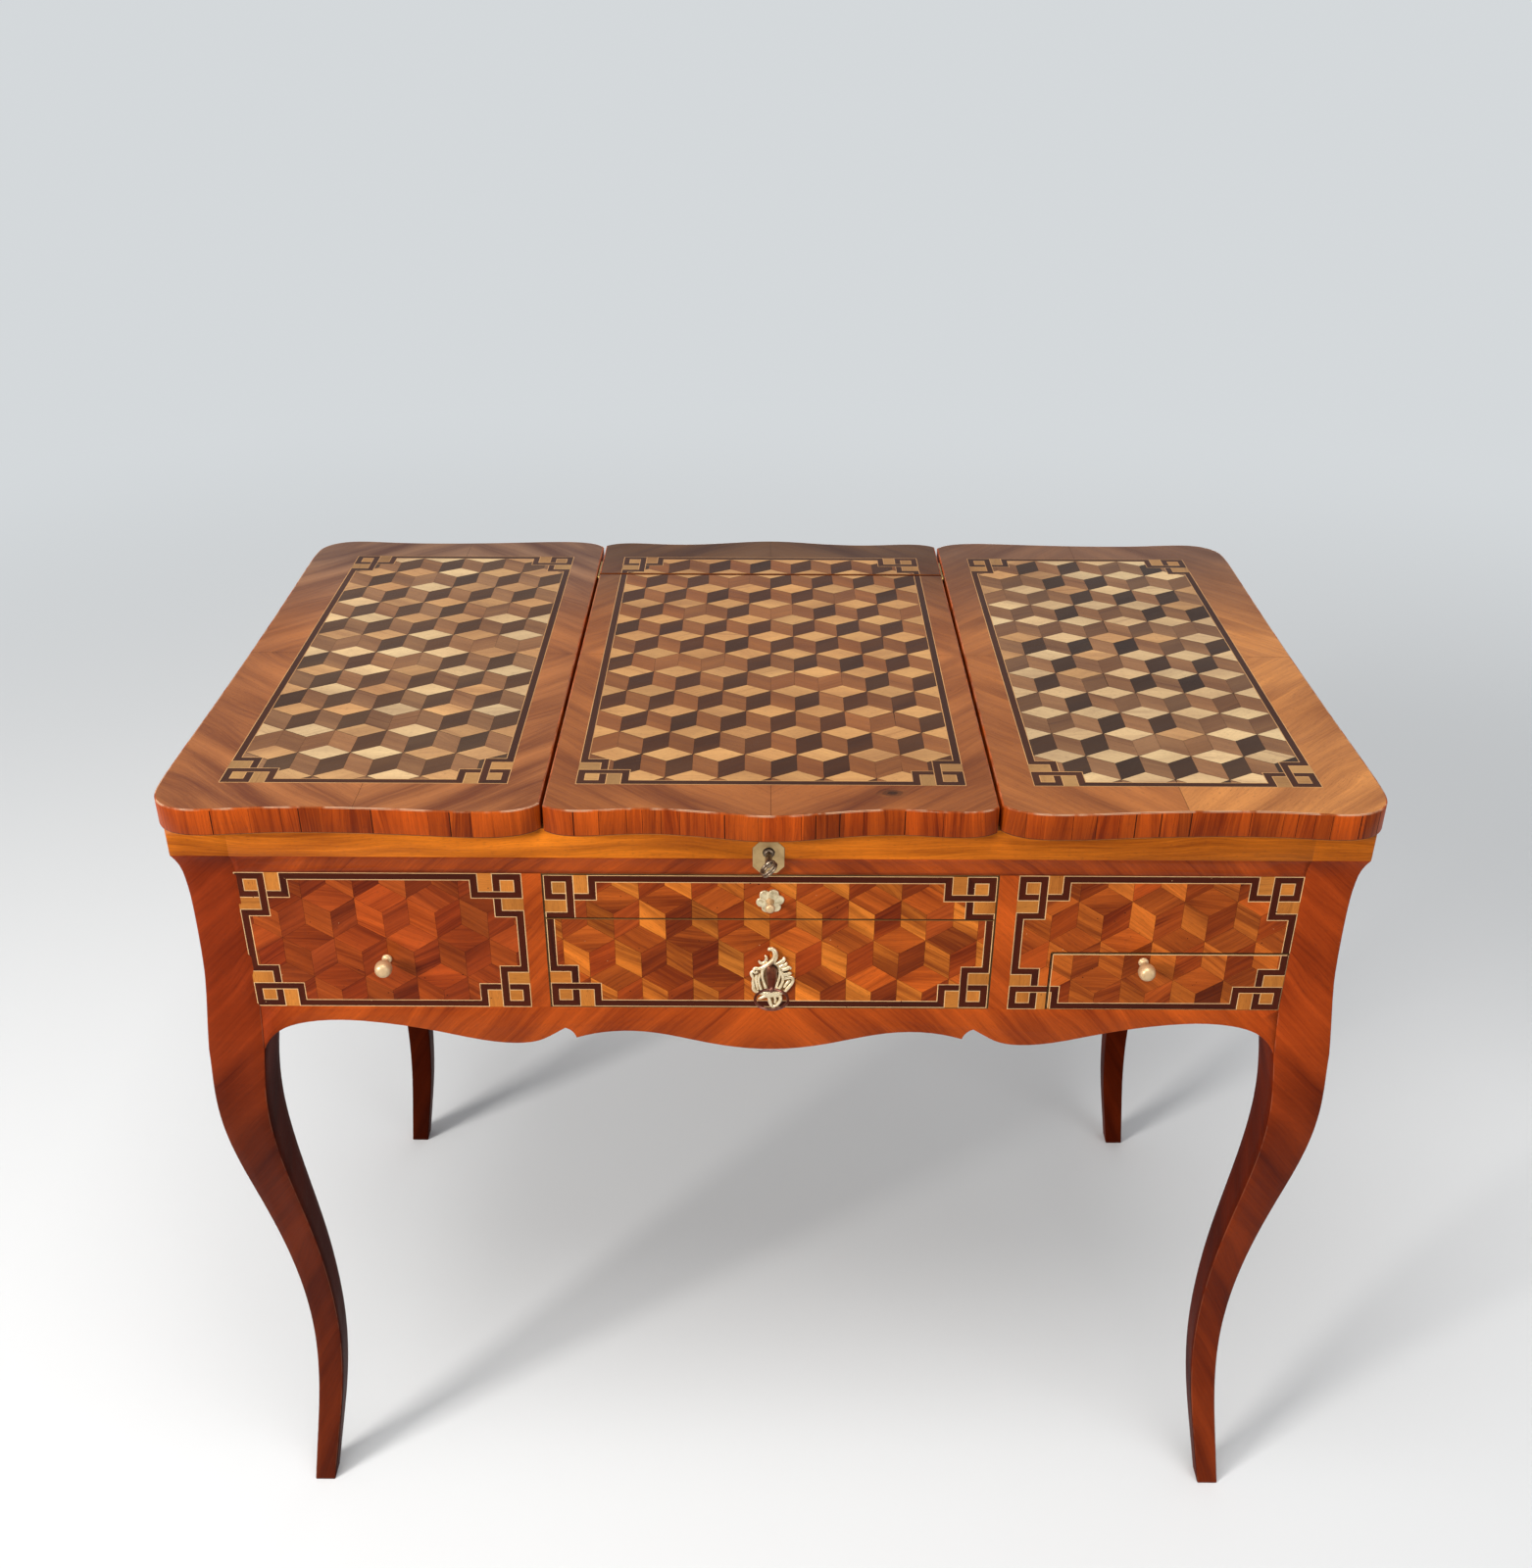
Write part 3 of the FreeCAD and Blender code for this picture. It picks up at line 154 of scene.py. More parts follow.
# Legs darker than the posts: partly the wood's own tone, partly painted shade below the apron
LEG_WOOD = {-1: leaf("#61220d", 0.80, 0.40, LEG_SHINE), 1: leaf("#7c2d10", 0.90, 0.40, LEG_SHINE)}
# Painted shade: share of the tone left on the inner faces of the legs
INNER_SHADE_SHARE = (0.46, 0.34, 0.24)
LID_LIGHT = leaf("#cb9666", 0.30, 0.5)
LID_MEDIUM = leaf("#8c5533", 0.40, 0.6)
LID_DARK = leaf("#4b2a18", 0.40, 0.6)
FLAP_CREAM = leaf("#d9b692", 0.30, 0.5)
FLAP_TAN = leaf("#c29168", 0.40, 0.5)
FLAP_MEDIUM = leaf("#8c6146", 0.45, 0.6)
FLAP_DARK = {-1: leaf("#543828", 0.35, 0.6), 1: leaf("#402a1e", 0.35, 0.6)}
FLAP_BROWN = leaf("#75503a", 0.40, 0.6)
TOP_FILL = leaf("#ae8054", 0.30, 0.5)
FRONT_FILL = leaf("#c67a38", 0.35, 0.5, FRONT_SHINE)

# Light, left and right faces of the cubes on the front and the sides
FRONT_CUBES = {
    "left": (leaf("#9a3f18", 0.90, 0.7, FRONT_SHINE), leaf("#a2471b", 0.90, 0.8, FRONT_SHINE),
             leaf("#893515", 0.90, 0.8, FRONT_SHINE)),
    "centre": (leaf("#aa4e1b", 0.90, 0.7, FRONT_SHINE), leaf("#c06826", 0.95, 0.8, FRONT_SHINE),
               leaf("#8f3a14", 0.90, 0.8, FRONT_SHINE)),
    "right": (leaf("#ac501d", 0.85, 0.7, FRONT_SHINE), leaf("#ba5f24", 0.90, 0.8, FRONT_SHINE),
              leaf("#983f15", 0.85, 0.8, FRONT_SHINE)),
}


def vary(wood, amount):
    """The same wood from another leaf, a little lighter or darker, redder or yellower."""
    light = 1 + rng.uniform(-amount, amount)
    warm = 1 + rng.uniform(-amount, amount) / 3
    red, green, blue = wood.tone
    return wood._replace(tone=(red * light * warm, green * light, blue * light / warm))


# ---------------------------------------------------------------- plane geometry

Rect = namedtuple("Rect", "x0 x1 y0 y1")


def area(polygon):
    """Signed area, positive when the polygon runs anticlockwise."""
    return sum(p[0] * q[1] - q[0] * p[1]
               for p, q in zip(polygon, polygon[1:] + polygon[:1])) / 2


def cut_by(polygon, axis, limit, keep):
    """Part of a polygon on one side of a line: keep is 1 for above the limit, -1 for below."""
    result = []
    for p, q in zip(polygon, polygon[1:] + polygon[:1]):
        inside_p = (p[axis] - limit) * keep >= 0
        inside_q = (q[axis] - limit) * keep >= 0
        if inside_p:
            result.append(p)
        if inside_p != inside_q:
            share = (limit - p[axis]) / (q[axis] - p[axis])
            result.append((p[0] + share * (q[0] - p[0]), p[1] + share * (q[1] - p[1])))
    return result


def clip(polygon, rect):
    """Part of a convex polygon inside a rectangle, or an empty list."""
    for axis, limit, keep in ((0, rect.x0, 1), (0, rect.x1, -1), (1, rect.y0, 1), (1, rect.y1, -1)):
        if len(polygon) > 2:
            polygon = cut_by(polygon, axis, limit, keep)
    return polygon if len(polygon) > 2 and abs(area(polygon)) > SMALLEST_PIECE else []


def shrink(polygon, gaps):
    """Move the edges of an anticlockwise convex polygon inwards, each by its own gap."""
    count = len(polygon)
    lines = []
    for (x0, y0), (x1, y1), gap in zip(polygon, polygon[1:] + polygon[:1], gaps):
        length = math.hypot(x1 - x0, y1 - y0) or 1
        normal = ((y0 - y1) / length, (x1 - x0) / length)
        lines.append((normal[0], normal[1], normal[0] * x0 + normal[1] * y0 + gap))
    result = []
    for index in range(count):
        a, b = lines[index - 1], lines[index]
        det = a[0] * b[1] - b[0] * a[1]
        if abs(det) < 1e-9:
            result.append(polygon[index])
        else:
            result.append(((a[2] * b[1] - b[2] * a[1]) / det, (a[0] * b[2] - b[0] * a[2]) / det))
    return result


class Plane:
    """A face of the table: 2D millimetres on it, seen from outside, to points in the frame."""

    def __init__(self, origin, right, up):
        self.origin = Vector(origin) * MM
        self.right = Vector(right)
        self.up = Vector(up)
        self.normal = self.right.cross(self.up)

    def point(self, x, y, lift=0.0):
        return self.origin + (self.right * x + self.up * y + self.normal * lift) * MM


# Top: the ground lies one inlay's height below the upper face, so nothing stands above it
top_plane = Plane((0, CENTRE_Y, TOP_Z - JOINT), (1, 0, 0), (0, 1, 0))
front_plane = Plane((0, FACE_Y - 0.02, 0), (1, 0, 0), (0, 0, 1))
left_plane = Plane((-SIDE_FACE_X - 0.02, CENTRE_Y, 0), (0, -1, 0), (0, 0, 1))
right_plane = Plane((SIDE_FACE_X + 0.02, CENTRE_Y, 0), (0, 1, 0), (0, 0, 1))


Item = namedtuple("Item", "polygon lift wood angle offset mirror", defaults=((1, 1, 0),))


def grain_of(item, polygon):
    """Place of each corner on the veneer leaf, along and across its grain."""
    side_x, side_y, middle_x = item.mirror
    cos, sin = math.cos(item.angle), math.sin(item.angle)
    spots = [(side_x * (x - middle_x), side_y * y) for x, y in polygon]
    return [(item.offset[0] + x * cos + y * sin, item.offset[1] - x * sin + y * cos)
            for x, y in spots]


class Sheet:
    """Faces gathered into one mesh, each with its wood and the run of its grain."""

    def __init__(self):
        self.points = []
        self.faces = []
        self.grain = []
        self.woods = []
        self.smooth = []

    def face(self, corners, grain, wood, smooth=False):
        """Add a face with corners of its own."""
        start = len(self.points)
        self.points += corners
        self.join(range(start, start + len(corners)), grain, wood, smooth)

    def join(self, indices, grain, wood, smooth=True):
        """Add a face between points that are there already."""
        self.faces.append(tuple(indices))
        self.grain.append(grain)
        self.woods.append(wood)
        self.smooth.append(smooth)

    def lay(self, plane, item, rect=None, drop=None):
        """Lay a veneer on a plane, clipped to a rectangle and bent down by drop(y)."""
        polygon = clip(item.polygon, rect) if rect else item.polygon
        if not polygon:
            return
        if area(polygon) < 0:
            polygon = polygon[::-1]
        points = [plane.point(x, y, item.lift - (drop(y) if drop else 0.0)) for x, y in polygon]
        self.face(points, grain_of(item, polygon), item.wood, drop is not None)

    def build(self, name, body, replaces=()):
        """Make the object, let it ride on its body and hide the nodes that it stands for."""
        mesh = bpy.data.meshes.new(name)
        mesh.from_pydata([tuple(p) for p in self.points], [], self.faces)
        corners = [(spot, wood) for grain, wood in zip(self.grain, self.woods) for spot in grain]
        add_veneers(mesh, corners, [wood.shine for wood in self.woods])
        mesh.polygons.foreach_set("use_smooth", self.smooth)
        place(bpy.data.objects.new(name, mesh), body, replaces)


def add_veneers(mesh, corners, shines):
    """Give each face corner its grain and wood, and each face the material of its shine."""
    mesh.uv_layers.new(name="grain")
    mesh.color_attributes.new("tone", "FLOAT_COLOR", "CORNER")
    mesh.color_attributes.new("figure", "FLOAT_COLOR", "CORNER")
    grain, tone, figure = [], [], []
    for (along, across), wood in corners:
        grain += (along * MM, across * MM)
        tone += (*wood.tone, 1.0)
        figure += (wood.streak, wood.wear, wood.fine, 1.0)
    mesh.uv_layers["grain"].data.foreach_set("uv", grain)
    mesh.attributes["tone"].data.foreach_set("color", tone)
    mesh.attributes["figure"].data.foreach_set("color", figure)
    used = sorted(set(shines))
    for shine in used:
        mesh.materials.append(VENEERS[shine])
    mesh.polygons.foreach_set("material_index", [used.index(shine) for shine in shines])


def place(piece, body, replaces=()):
    """Put a piece in the scene on its body, and hide the nodes that it replaces."""
    bpy.context.scene.collection.objects.link(piece)
    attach(piece, body)
    if replaces:
        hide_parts(*replaces)


# ---------------------------------------------------------------- materials

class Tree:
    """Shorthand for building a node tree."""

    def __init__(self, tree, output):
        self.tree = tree
        tree.nodes.clear()
        self.output = self.add(output)

    def add(self, kind, inputs=None, **settings):
        node = self.tree.nodes.new(kind)
        for key, value in settings.items():
            setattr(node, key, value)
        for key, value in (inputs or {}).items():
            if isinstance(value, bpy.types.NodeSocket):
                self.tree.links.new(value, node.inputs[key])
            else:
                node.inputs[key].default_value = value
        return node

    def end_with(self, shader):
        self.tree.links.new(shader.outputs[0], self.output.inputs[0])

    def math(self, operation, first, second=0.0, third=0.0, clamp=False):
        node = self.add("ShaderNodeMath", {0: first, 1: second, 2: third}, operation=operation)
        node.use_clamp = clamp
        return node.outputs[0]

    def swing(self, value, reach, base=0.0):
        """Swing about a base with the noise in a value, whose middle is 0.5."""
        return self.math("MULTIPLY_ADD", self.math("SUBTRACT", value, 0.5), reach, base)

    def vector(self, operation, first, second):
        return self.add("ShaderNodeVectorMath", {0: first, 1: second},
                        operation=operation).outputs[0]

    def noise(self, vector, scale, detail=2.0, roughness=0.5):
        return self.add("ShaderNodeTexNoise", {"Vector": vector, "Scale": scale, "Detail": detail,
                                               "Roughness": roughness}).outputs[0]

    def ramp(self, value, start, end, out_start=0.0, out_end=1.0):
        inputs = {0: value, 1: start, 2: end, 3: out_start, 4: out_end}
        return self.add("ShaderNodeMapRange", inputs, interpolation_type="SMOOTHSTEP").outputs[0]

    def blend(self, factor, first, second, blend_type="MIX"):
        return self.add("ShaderNodeMix", {0: factor, 6: first, 7: second}, data_type="RGBA",
                        blend_type=blend_type).outputs[2]

    def toned(self, colour, share):
        """A colour multiplied by another."""
        return self.blend(1.0, colour, share, "MULTIPLY")

    def seen(self, *rays):
        """1 where a ray of one of these kinds arrives, and 0 elsewhere."""
        path = self.add("ShaderNodeLightPath").outputs
        result = path[rays[0]]
        for ray in rays[1:]:
            result = self.math("MAXIMUM", result, path[ray])
        return result


class Paint(Tree):
    """Node tree of a new material."""

    def __init__(self, name):
        self.material = bpy.data.materials.new(name)
        self.material.use_nodes = True
        super().__init__(self.material.node_tree, "ShaderNodeOutputMaterial")

    def surface(self, inputs, bump=None, strength=0.2, distance=0.0004):
        if bump is not None:
            inputs["Normal"] = self.add("ShaderNodeBump", {"Height": bump, "Strength": strength,
                                                           "Distance": distance}).outputs[0]
        self.end_with(self.add("ShaderNodeBsdfPrincipled", inputs))
        return self.material


# Noise cells a metre, along and across the grain
DRIFT_CELLS, BROAD_CELLS, BAND_CELLS = (5.0, 14.0), (5.5, 32.0), (9.0, 190.0)
LINE_CELLS, FIBRE_CELLS = (22.0, 800.0), (90.0, 3000.0)
VEIN_CELLS, PORE_CELLS = (8.0, 300.0), (210.0, 4200.0)
DRIFT_REACH = 0.040

# How far broad bands, narrow bands, lines and fibres lighten or darken the wood
BROAD_REACH, BAND_REACH, LINE_REACH, FIBRE_REACH = 2.2, 1.9, 1.2, 0.35
DARKER, LIGHTER = (0.44, 0.34, 0.30, 1), (1.44, 1.56, 1.30, 1)
VEINED, PATINATED = (0.30, 0.20, 0.18, 1), (0.62, 0.52, 0.50, 1)
PORE_COLOUR, CHIP_COLOUR = (0.05, 0.02, 0.012, 1), (0.68, 0.44, 0.28, 1)
WAX_SPECULAR, WAX_ROUGHNESS = 0.20, 0.2


def stretched(tree, grain, cells, detail=2.0):
    """Noise drawn out along the grain, with so many cells a metre each way."""
    return tree.noise(tree.vector("MULTIPLY", grain, (*cells, 1.0)), 1.0, detail)


def wood_surface(tree, grain, tone, streak, fine, wear, shine, roughness=0.40, coat=0.05):
    """Figured wood under old wax: broad bands, fine lines, fibres, pores, patina and wear."""
    spot = tree.add("ShaderNodeTexCoord").outputs["Object"]
    drift = tree.swing(stretched(tree, grain, DRIFT_CELLS), DRIFT_REACH)
    grain = tree.vector("ADD", grain, tree.add("ShaderNodeCombineXYZ", {1: drift}).outputs[0])
    broad = stretched(tree, grain, BROAD_CELLS, 1.0)
    bands = stretched(tree, grain, BAND_CELLS, 3.0)
    lines = stretched(tree, grain, LINE_CELLS)
    fibres = stretched(tree, grain, FIBRE_CELLS, 1.0)
    narrow = tree.swing(lines, LINE_REACH, tree.swing(bands, BAND_REACH))
    figure = tree.math("MULTIPLY_ADD", narrow, fine, tree.swing(broad, BROAD_REACH))
    figure = tree.swing(fibres, FIBRE_REACH, tree.math("MULTIPLY", figure, streak))
    shade = tree.math("ADD", figure, 0.5, clamp=True)
    colour = tree.blend(shade, tree.toned(tone, DARKER), tree.toned(tone, LIGHTER))
    veins = tree.math("MULTIPLY", tree.ramp(stretched(tree, grain, VEIN_CELLS, 1.0), 0.61, 0.72),
                      tree.ramp(broad, 0.56, 0.42))
    veins = tree.math("MULTIPLY", veins, tree.math("MULTIPLY", fine, 0.6))
    colour = tree.blend(veins, colour, tree.toned(tone, VEINED))
    pores = tree.ramp(stretched(tree, grain, PORE_CELLS, 0.0), 0.66, 0.72)
    colour = tree.blend(tree.math("MULTIPLY", pores, 0.35), colour, PORE_COLOUR)
    patina = tree.noise(spot, 9.0, 3.0)
    colour = tree.blend(tree.ramp(patina, 0.35, 0.70, 0.0, 0.34), colour,
                        tree.toned(colour, PATINATED))
    chips = tree.ramp(tree.noise(spot, 60.0, 3.0), 0.40, 0.55)
    colour = tree.blend(tree.math("MULTIPLY", chips, wear), colour, CHIP_COLOUR)
    gloss = tree.swing(patina, 0.22, tree.swing(bands, 0.16, roughness))
    waves = tree.math("MULTIPLY", tree.noise(spot, 34.0, 1.0), 1.6)
    relief = tree.math("ADD", tree.math("MULTIPLY_ADD", lines, 0.25, waves),
                       tree.math("MULTIPLY", pores, -0.3))
    return tree.surface({"Base Color": colour, "Roughness": gloss,
                         "Specular IOR Level": WAX_SPECULAR * shine,
                         "Coat Weight": coat * shine, "Coat Roughness": WAX_ROUGHNESS},
                        relief, 0.22, 0.0006)


def veneer_material(shine):
    """Wood that reads its tone, figure and grain from each veneer."""
    tree = Paint("veneer_%d" % (100 * shine))
    grain = tree.add("ShaderNodeUVMap", uv_map="grain").outputs[0]
    tone = tree.add("ShaderNodeAttribute", attribute_name="tone").outputs["Color"]
    figure = tree.add("ShaderNodeAttribute", attribute_name="figure").outputs["Color"]
    parts = tree.add("ShaderNodeSeparateColor", {0: figure}).outputs
    return wood_surface(tree, grain, tone, parts[0], parts[2], parts[1], shine)


def solid_wood(name, code, axis, streak=0.45, roughness=0.6, coat=0.0):
    """Plain wood whose grain runs along one axis of the piece."""
    tree = Paint(name)
    parts = tree.add("ShaderNodeSeparateXYZ",
                     {0: tree.add("ShaderNodeTexCoord").outputs["Object"]}).outputs
    others = [index for index in range(3) if index != axis]
    across = tree.math("ADD", parts[others[0]], tree.math("MULTIPLY", parts[others[1]], 1.3))
    grain = tree.add("ShaderNodeCombineXYZ", {0: parts[axis], 1: across}).outputs[0]
    return wood_surface(tree, grain, (*srgb(code), 1), streak, 0.7, 0.0, 1.0, roughness, coat)


def metal(name, code, dark_code, roughness, tarnish=0.5, scale=260.0, metallic=0.8):
    """Old metal, dulled and darker in patches, with fine scratches."""
    tree = Paint(name)
    spot = tree.add("ShaderNodeTexCoord").outputs["Object"]
    patches = tree.noise(spot, scale, 4.0, 0.6)
    fine = tree.noise(spot, scale * 7, 2.0)
    mask = tree.math("MULTIPLY", tree.ramp(patches, 0.42, 0.66), tarnish)
    colour = tree.blend(mask, (*srgb(code), 1), (*srgb(dark_code), 1))
    gloss = tree.swing(fine, 0.12, tree.math("MULTIPLY_ADD", mask, 0.3, roughness))
    relief = tree.math("MULTIPLY_ADD", patches, 1.0, tree.math("MULTIPLY", fine, 0.25))
    return tree.surface({"Base Color": colour, "Roughness": gloss, "Metallic": metallic},
                        relief, 0.25, 0.0003)


def leather_material():
    """Dark brown leather with a fine grain and rubbed high spots."""
    tree = Paint("leather")
    spot = tree.add("ShaderNodeTexCoord").outputs["Object"]
    cells = tree.add("ShaderNodeTexVoronoi", {"Vector": spot, "Scale": 900.0}).outputs[0]
    clouds = tree.noise(spot, 14.0, 4.0)
    colour = tree.blend(tree.ramp(clouds, 0.35, 0.7), (*srgb("#3b1c12"), 1), (*srgb("#5c2f1c"), 1))
    colour = tree.blend(tree.ramp(cells, 0.0, 0.5, 0.35, 0.0), colour, (*srgb("#241009"), 1))
    return tree.surface({"Base Color": colour, "Roughness": 0.52}, cells, 0.35, 0.0004)


def mirror_material():
    """Old silvered glass with faint foxing near its edges."""
    tree = Paint("silvered_glass")
    spot = tree.add("ShaderNodeTexCoord").outputs["Object"]
    foxing = tree.ramp(tree.noise(spot, 45.0, 5.0, 0.65), 0.66, 0.78)
    colour = tree.blend(foxing, (0.86, 0.88, 0.88, 1), (0.42, 0.38, 0.32, 1))
    gloss = tree.math("MULTIPLY_ADD", foxing, 0.35, 0.03)
    return tree.surface({"Base Color": colour, "Roughness": gloss, "Metallic": 1.0})


VENEERS = {shine: veneer_material(shine)
           for shine in (TOP_SHINE, FRONT_SHINE, LEG_SHINE, INNER_SHINE)}
OAK_X = solid_wood("oak_along_x", "#94693f", 0, 0.28)
OAK_Y = solid_wood("oak_along_y", "#94693f", 1, 0.28)
LINING_Y = solid_wood("lining_along_y", "#9c5a2c", 1, 0.55, 0.45, 0.05)
EDGE_X = solid_wood("stained_edge", "#7c3c1c", 0, 0.7, 0.5)
WALNUT_X = solid_wood("frame_moulding", "#6b3a1e", 0, 0.8, 0.4, 0.2)
BRASS = metal("gilt_brass", "#ecd9b4", "#b89664", 0.27, 0.5)
KNOB_BRASS = metal("knob_brass", "#d4b184", "#a58355", 0.36, 0.4, metallic=0.45)
PETAL_BRASS = metal("petal_brass", "#e0d0aa", "#94774c", 0.33, 0.5, metallic=0.7)
PLATE_BRASS = metal("plate_brass", "#bd9e6f", "#8e7148", 0.42, 0.35, 120.0)
HINGE_BRASS = metal("hinge_brass", "#a98a4e", "#5d4526", 0.36, 0.6)
OLD_BRASS = metal("old_brass", "#7c5834", "#3a2412", 0.50, 0.8)
KEY_BRONZE = metal("key_bronze", "#74483a", "#341c14", 0.33, 0.5)
RING_STEEL = metal("ring_steel", "#8a7662", "#2c221a", 0.24, 0.8)
DARK_IRON = metal("dark_iron", "#2a201a", "#120c09", 0.45, 0.5)
LOCK_STEEL = metal("lock_steel", "#6a645c", "#3a332c", 0.45, 0.6)


# ---------------------------------------------------------------- parquetry and fret

def new_offset():
    """A fresh place on the veneer leaf, so that no two pieces repeat each other."""
    return rng.uniform(0, 4000), rng.uniform(0, 4000)


def cubes(rows, centre_x, size, rect, choose, gap=SHADOW_GAP):
    """Cube parquetry inside a rectangle: a rhombus and two upright faces for each cube."""
    width, short, side = size
    half, rise = width / 2, short / 2
    moved = {}

    def corner(x, y):
        key = (round(x, 1), round(y, 1))
        if key not in moved:
            moved[key] = (x + rng.uniform(-JITTER, JITTER), y + rng.uniform(-JITTER, JITTER))
        return moved[key]

    slope = math.atan2(rise, half)
    items = []
    count = int((rect.x1 - rect.x0) / width) + 3
    for row, y in enumerate(rows):
        shift = half * ((row + 1) % 2)
        for column in range(-count, count + 1):
            x = centre_x + shift + column * width
            west, north, east, south = (corner(x - half, y), corner(x, y + rise),
                                        corner(x + half, y), corner(x, y - rise))
            low_west, low_south, low_east = (corner(x - half, y - side), corner(x, y - rise - side),
                                             corner(x + half, y - side))
            faces = (("light", [west, south, east, north], (gap, gap, JOINT_GAP / 2, JOINT_GAP / 2),
                      rng.choice((0, slope, -slope))),
                     ("left", [low_west, low_south, south, west], (JOINT_GAP / 2,) * 4, -slope),
                     ("right", [low_south, low_east, east, south], (JOINT_GAP / 2,) * 4, slope))
            for kind, polygon, gaps, angle in faces:
                if clip(polygon, rect):
                    shrunk = clip(shrink(polygon, gaps), rect)
                    items.append(Item(shrunk, FIELD, choose(kind),
                                      angle + rng.uniform(-0.06, 0.06), new_offset()))
    return [item for item in items if item.polygon]


def fret_path(rect):
    """Middle line of the fret: a closed path that loops over itself at every corner."""
    near = FRET_WIDTH / 2
    inner = FRET_LOOP - near
    far = FRET_STUB + near
    corner = [(near, far), (inner, far), (inner, near), (near, near), (near, inner), (far, inner),
              (far, near)]
    places = ((rect.x0, 1, rect.y1, -1, corner), (rect.x1, -1, rect.y1, -1, corner[::-1]),
              (rect.x1, -1, rect.y0, 1, corner), (rect.x0, 1, rect.y0, 1, corner[::-1]))
    return [(x + dx * a, y + dy * b) for x, dx, y, dy, path in places for a, b in path]


def fret(rect, over, fill, dark, string):
    """Fret border. over names, clockwise from top left, the strand on top at each crossing."""
    items = []
    path = fret_path(rect)
    count = len(path)
    crossing = {"v": 1, "h": 4}    # sides of a corner that run upright and level through it
    per_corner = count // 4

    def side_normal(index):
        (x0, y0), (x1, y1) = path[index % count], path[(index + 1) % count]
        length = math.hypot(x1 - x0, y1 - y0)
        return (y0 - y1) / length, (x1 - x0) / length

    tops = set()
    for corner, strand in enumerate(over):
        step = crossing[strand] if corner % 2 == 0 else per_corner - 2 - crossing[strand]
        tops.add(corner * per_corner + step)
    half, core = FRET_WIDTH / 2, FRET_CORE / 2
    for index in range(count):
        start, end = path[index], path[(index + 1) % count]
        before, here, after = side_normal(index - 1), side_normal(index), side_normal(index + 1)

        def edge(offset):
            return [tuple(p + offset * (m + n) for p, m, n in zip(*ends))
                    for ends in ((start, before, here), (end, here, after))]

        lift = CROSSING if index in tops else INLAY
        angle = math.atan2(end[1] - start[1], end[0] - start[0])
        for low_side, high_side, wood in ((-half, -core, string), (-core, core, dark),
                                          (core, half, string)):
            first, second = edge(low_side), edge(high_side)
            items.append(Item([first[0], first[1], second[1], second[0]], lift, vary(wood, 0.12),
                              angle, new_offset()))
    stub, loop, band = FRET_STUB, FRET_LOOP, FRET_WIDTH
    inside = loop - band
    for x, dx in ((rect.x0, 1), (rect.x1, -1)):
        for y, dy in ((rect.y0, 1), (rect.y1, -1)):
            for a0, a1, b0, b1 in ((band, inside, band, inside), (loop, stub, 0, inside),
                                   (0, inside, loop, stub)):
                polygon = [(x + dx * a, y + dy * b)
                           for a, b in ((a0, b0), (a1, b0), (a1, b1), (a0, b1))]
                polygon = polygon if area(polygon) > 0 else polygon[::-1]
                items.append(Item(polygon, FIELD + 0.01, vary(fill, 0.13),
                                  rng.choice((0, math.pi / 2)), new_offset()))
    return items


def corners_of(rect):
    """Corners of a rectangle, anticlockwise."""
    return [(rect.x0, rect.y0), (rect.x1, rect.y0), (rect.x1, rect.y1), (rect.x0, rect.y1)]


def within(rect, margin):
    """Rectangle inside another."""
    return Rect(rect.x0 + margin, rect.x1 - margin, rect.y0 + margin, rect.y1 - margin)


def straight_joint(start, end, width=0.3, wood=JOINT_WOOD):
    """Thin line where two veneers meet."""
    dx, dy = end[0] - start[0], end[1] - start[1]
    length = math.hypot(dx, dy)
    nx, ny = -dy / length * width / 2, dx / length * width / 2
    polygon = [(start[0] - nx, start[1] - ny), (end[0] - nx, end[1] - ny),
               (end[0] + nx, end[1] + ny), (start[0] + nx, start[1] + ny)]
    return Item(polygon if area(polygon) > 0 else polygon[::-1], JOINT, wood, 0.0, (0, 0))


# ---------------------------------------------------------------- top panels

def plan_outline(node):
    """Outline of a panel's upper face in plan, anticlockwise."""
    mesh = NODES[node].data
    top = max(v.co.z for v in mesh.vertices)
    places = {}
    following = {}
    directed = set()
    for face in mesh.polygons:
        if face.normal.z > 0.99 and face.center.z > top - 1e-5:
            keys = []
            for index in face.vertices:
                x, y, _ = mesh.vertices[index].co / MM
                key = (round(x, 2), round(y, 2))
                places[key] = (x, y - CENTRE_Y)
                keys.append(key)
            directed.update(zip(keys, keys[1:] + keys[:1]))
    for start, end in directed:
        if (end, start) not in directed:
            following[start] = end
    start = next(iter(sorted(following)))
    loop, here = [], start
    while True:
        loop.append(places[here])
        here = following[here]
        if here == start:
            return loop


SHARP_TURN = math.radians(38)
OUTLINE_STEP = 3.0


def corner_indices(loop):
    """Points of a loop where it turns sharply."""
    result = []
    for index, here in enumerate(loop):
        before, after = loop[index - 1], loop[(index + 1) % len(loop)]
        turn = (math.atan2(after[1] - here[1], after[0] - here[0])
                - math.atan2(here[1] - before[1], here[0] - before[0]))
        turn = (turn + math.pi) % (2 * math.pi) - math.pi
        if abs(turn) > SHARP_TURN:
            result.append(index)
    return result


def spline(points, steps_between):
    """Points along a smooth curve through others, with steps between each two."""
    data = [Vector(p) for p in points]
    data = [data[0] * 2 - data[1]] + data + [data[-1] * 2 - data[-2]]
    result = []
    for p0, p1, p2, p3 in zip(data, data[1:], data[2:], data[3:]):
        steps = steps_between(p1, p2)
        for step in range(steps):
            t = step / steps
            result.append(((p1 * 2) + (p2 - p0) * t + (p0 * 2 - p1 * 5 + p2 * 4 - p3) * t ** 2
                           + (p1 * 3 - p0 - p2 * 3 + p3) * t ** 3) / 2)
    return result


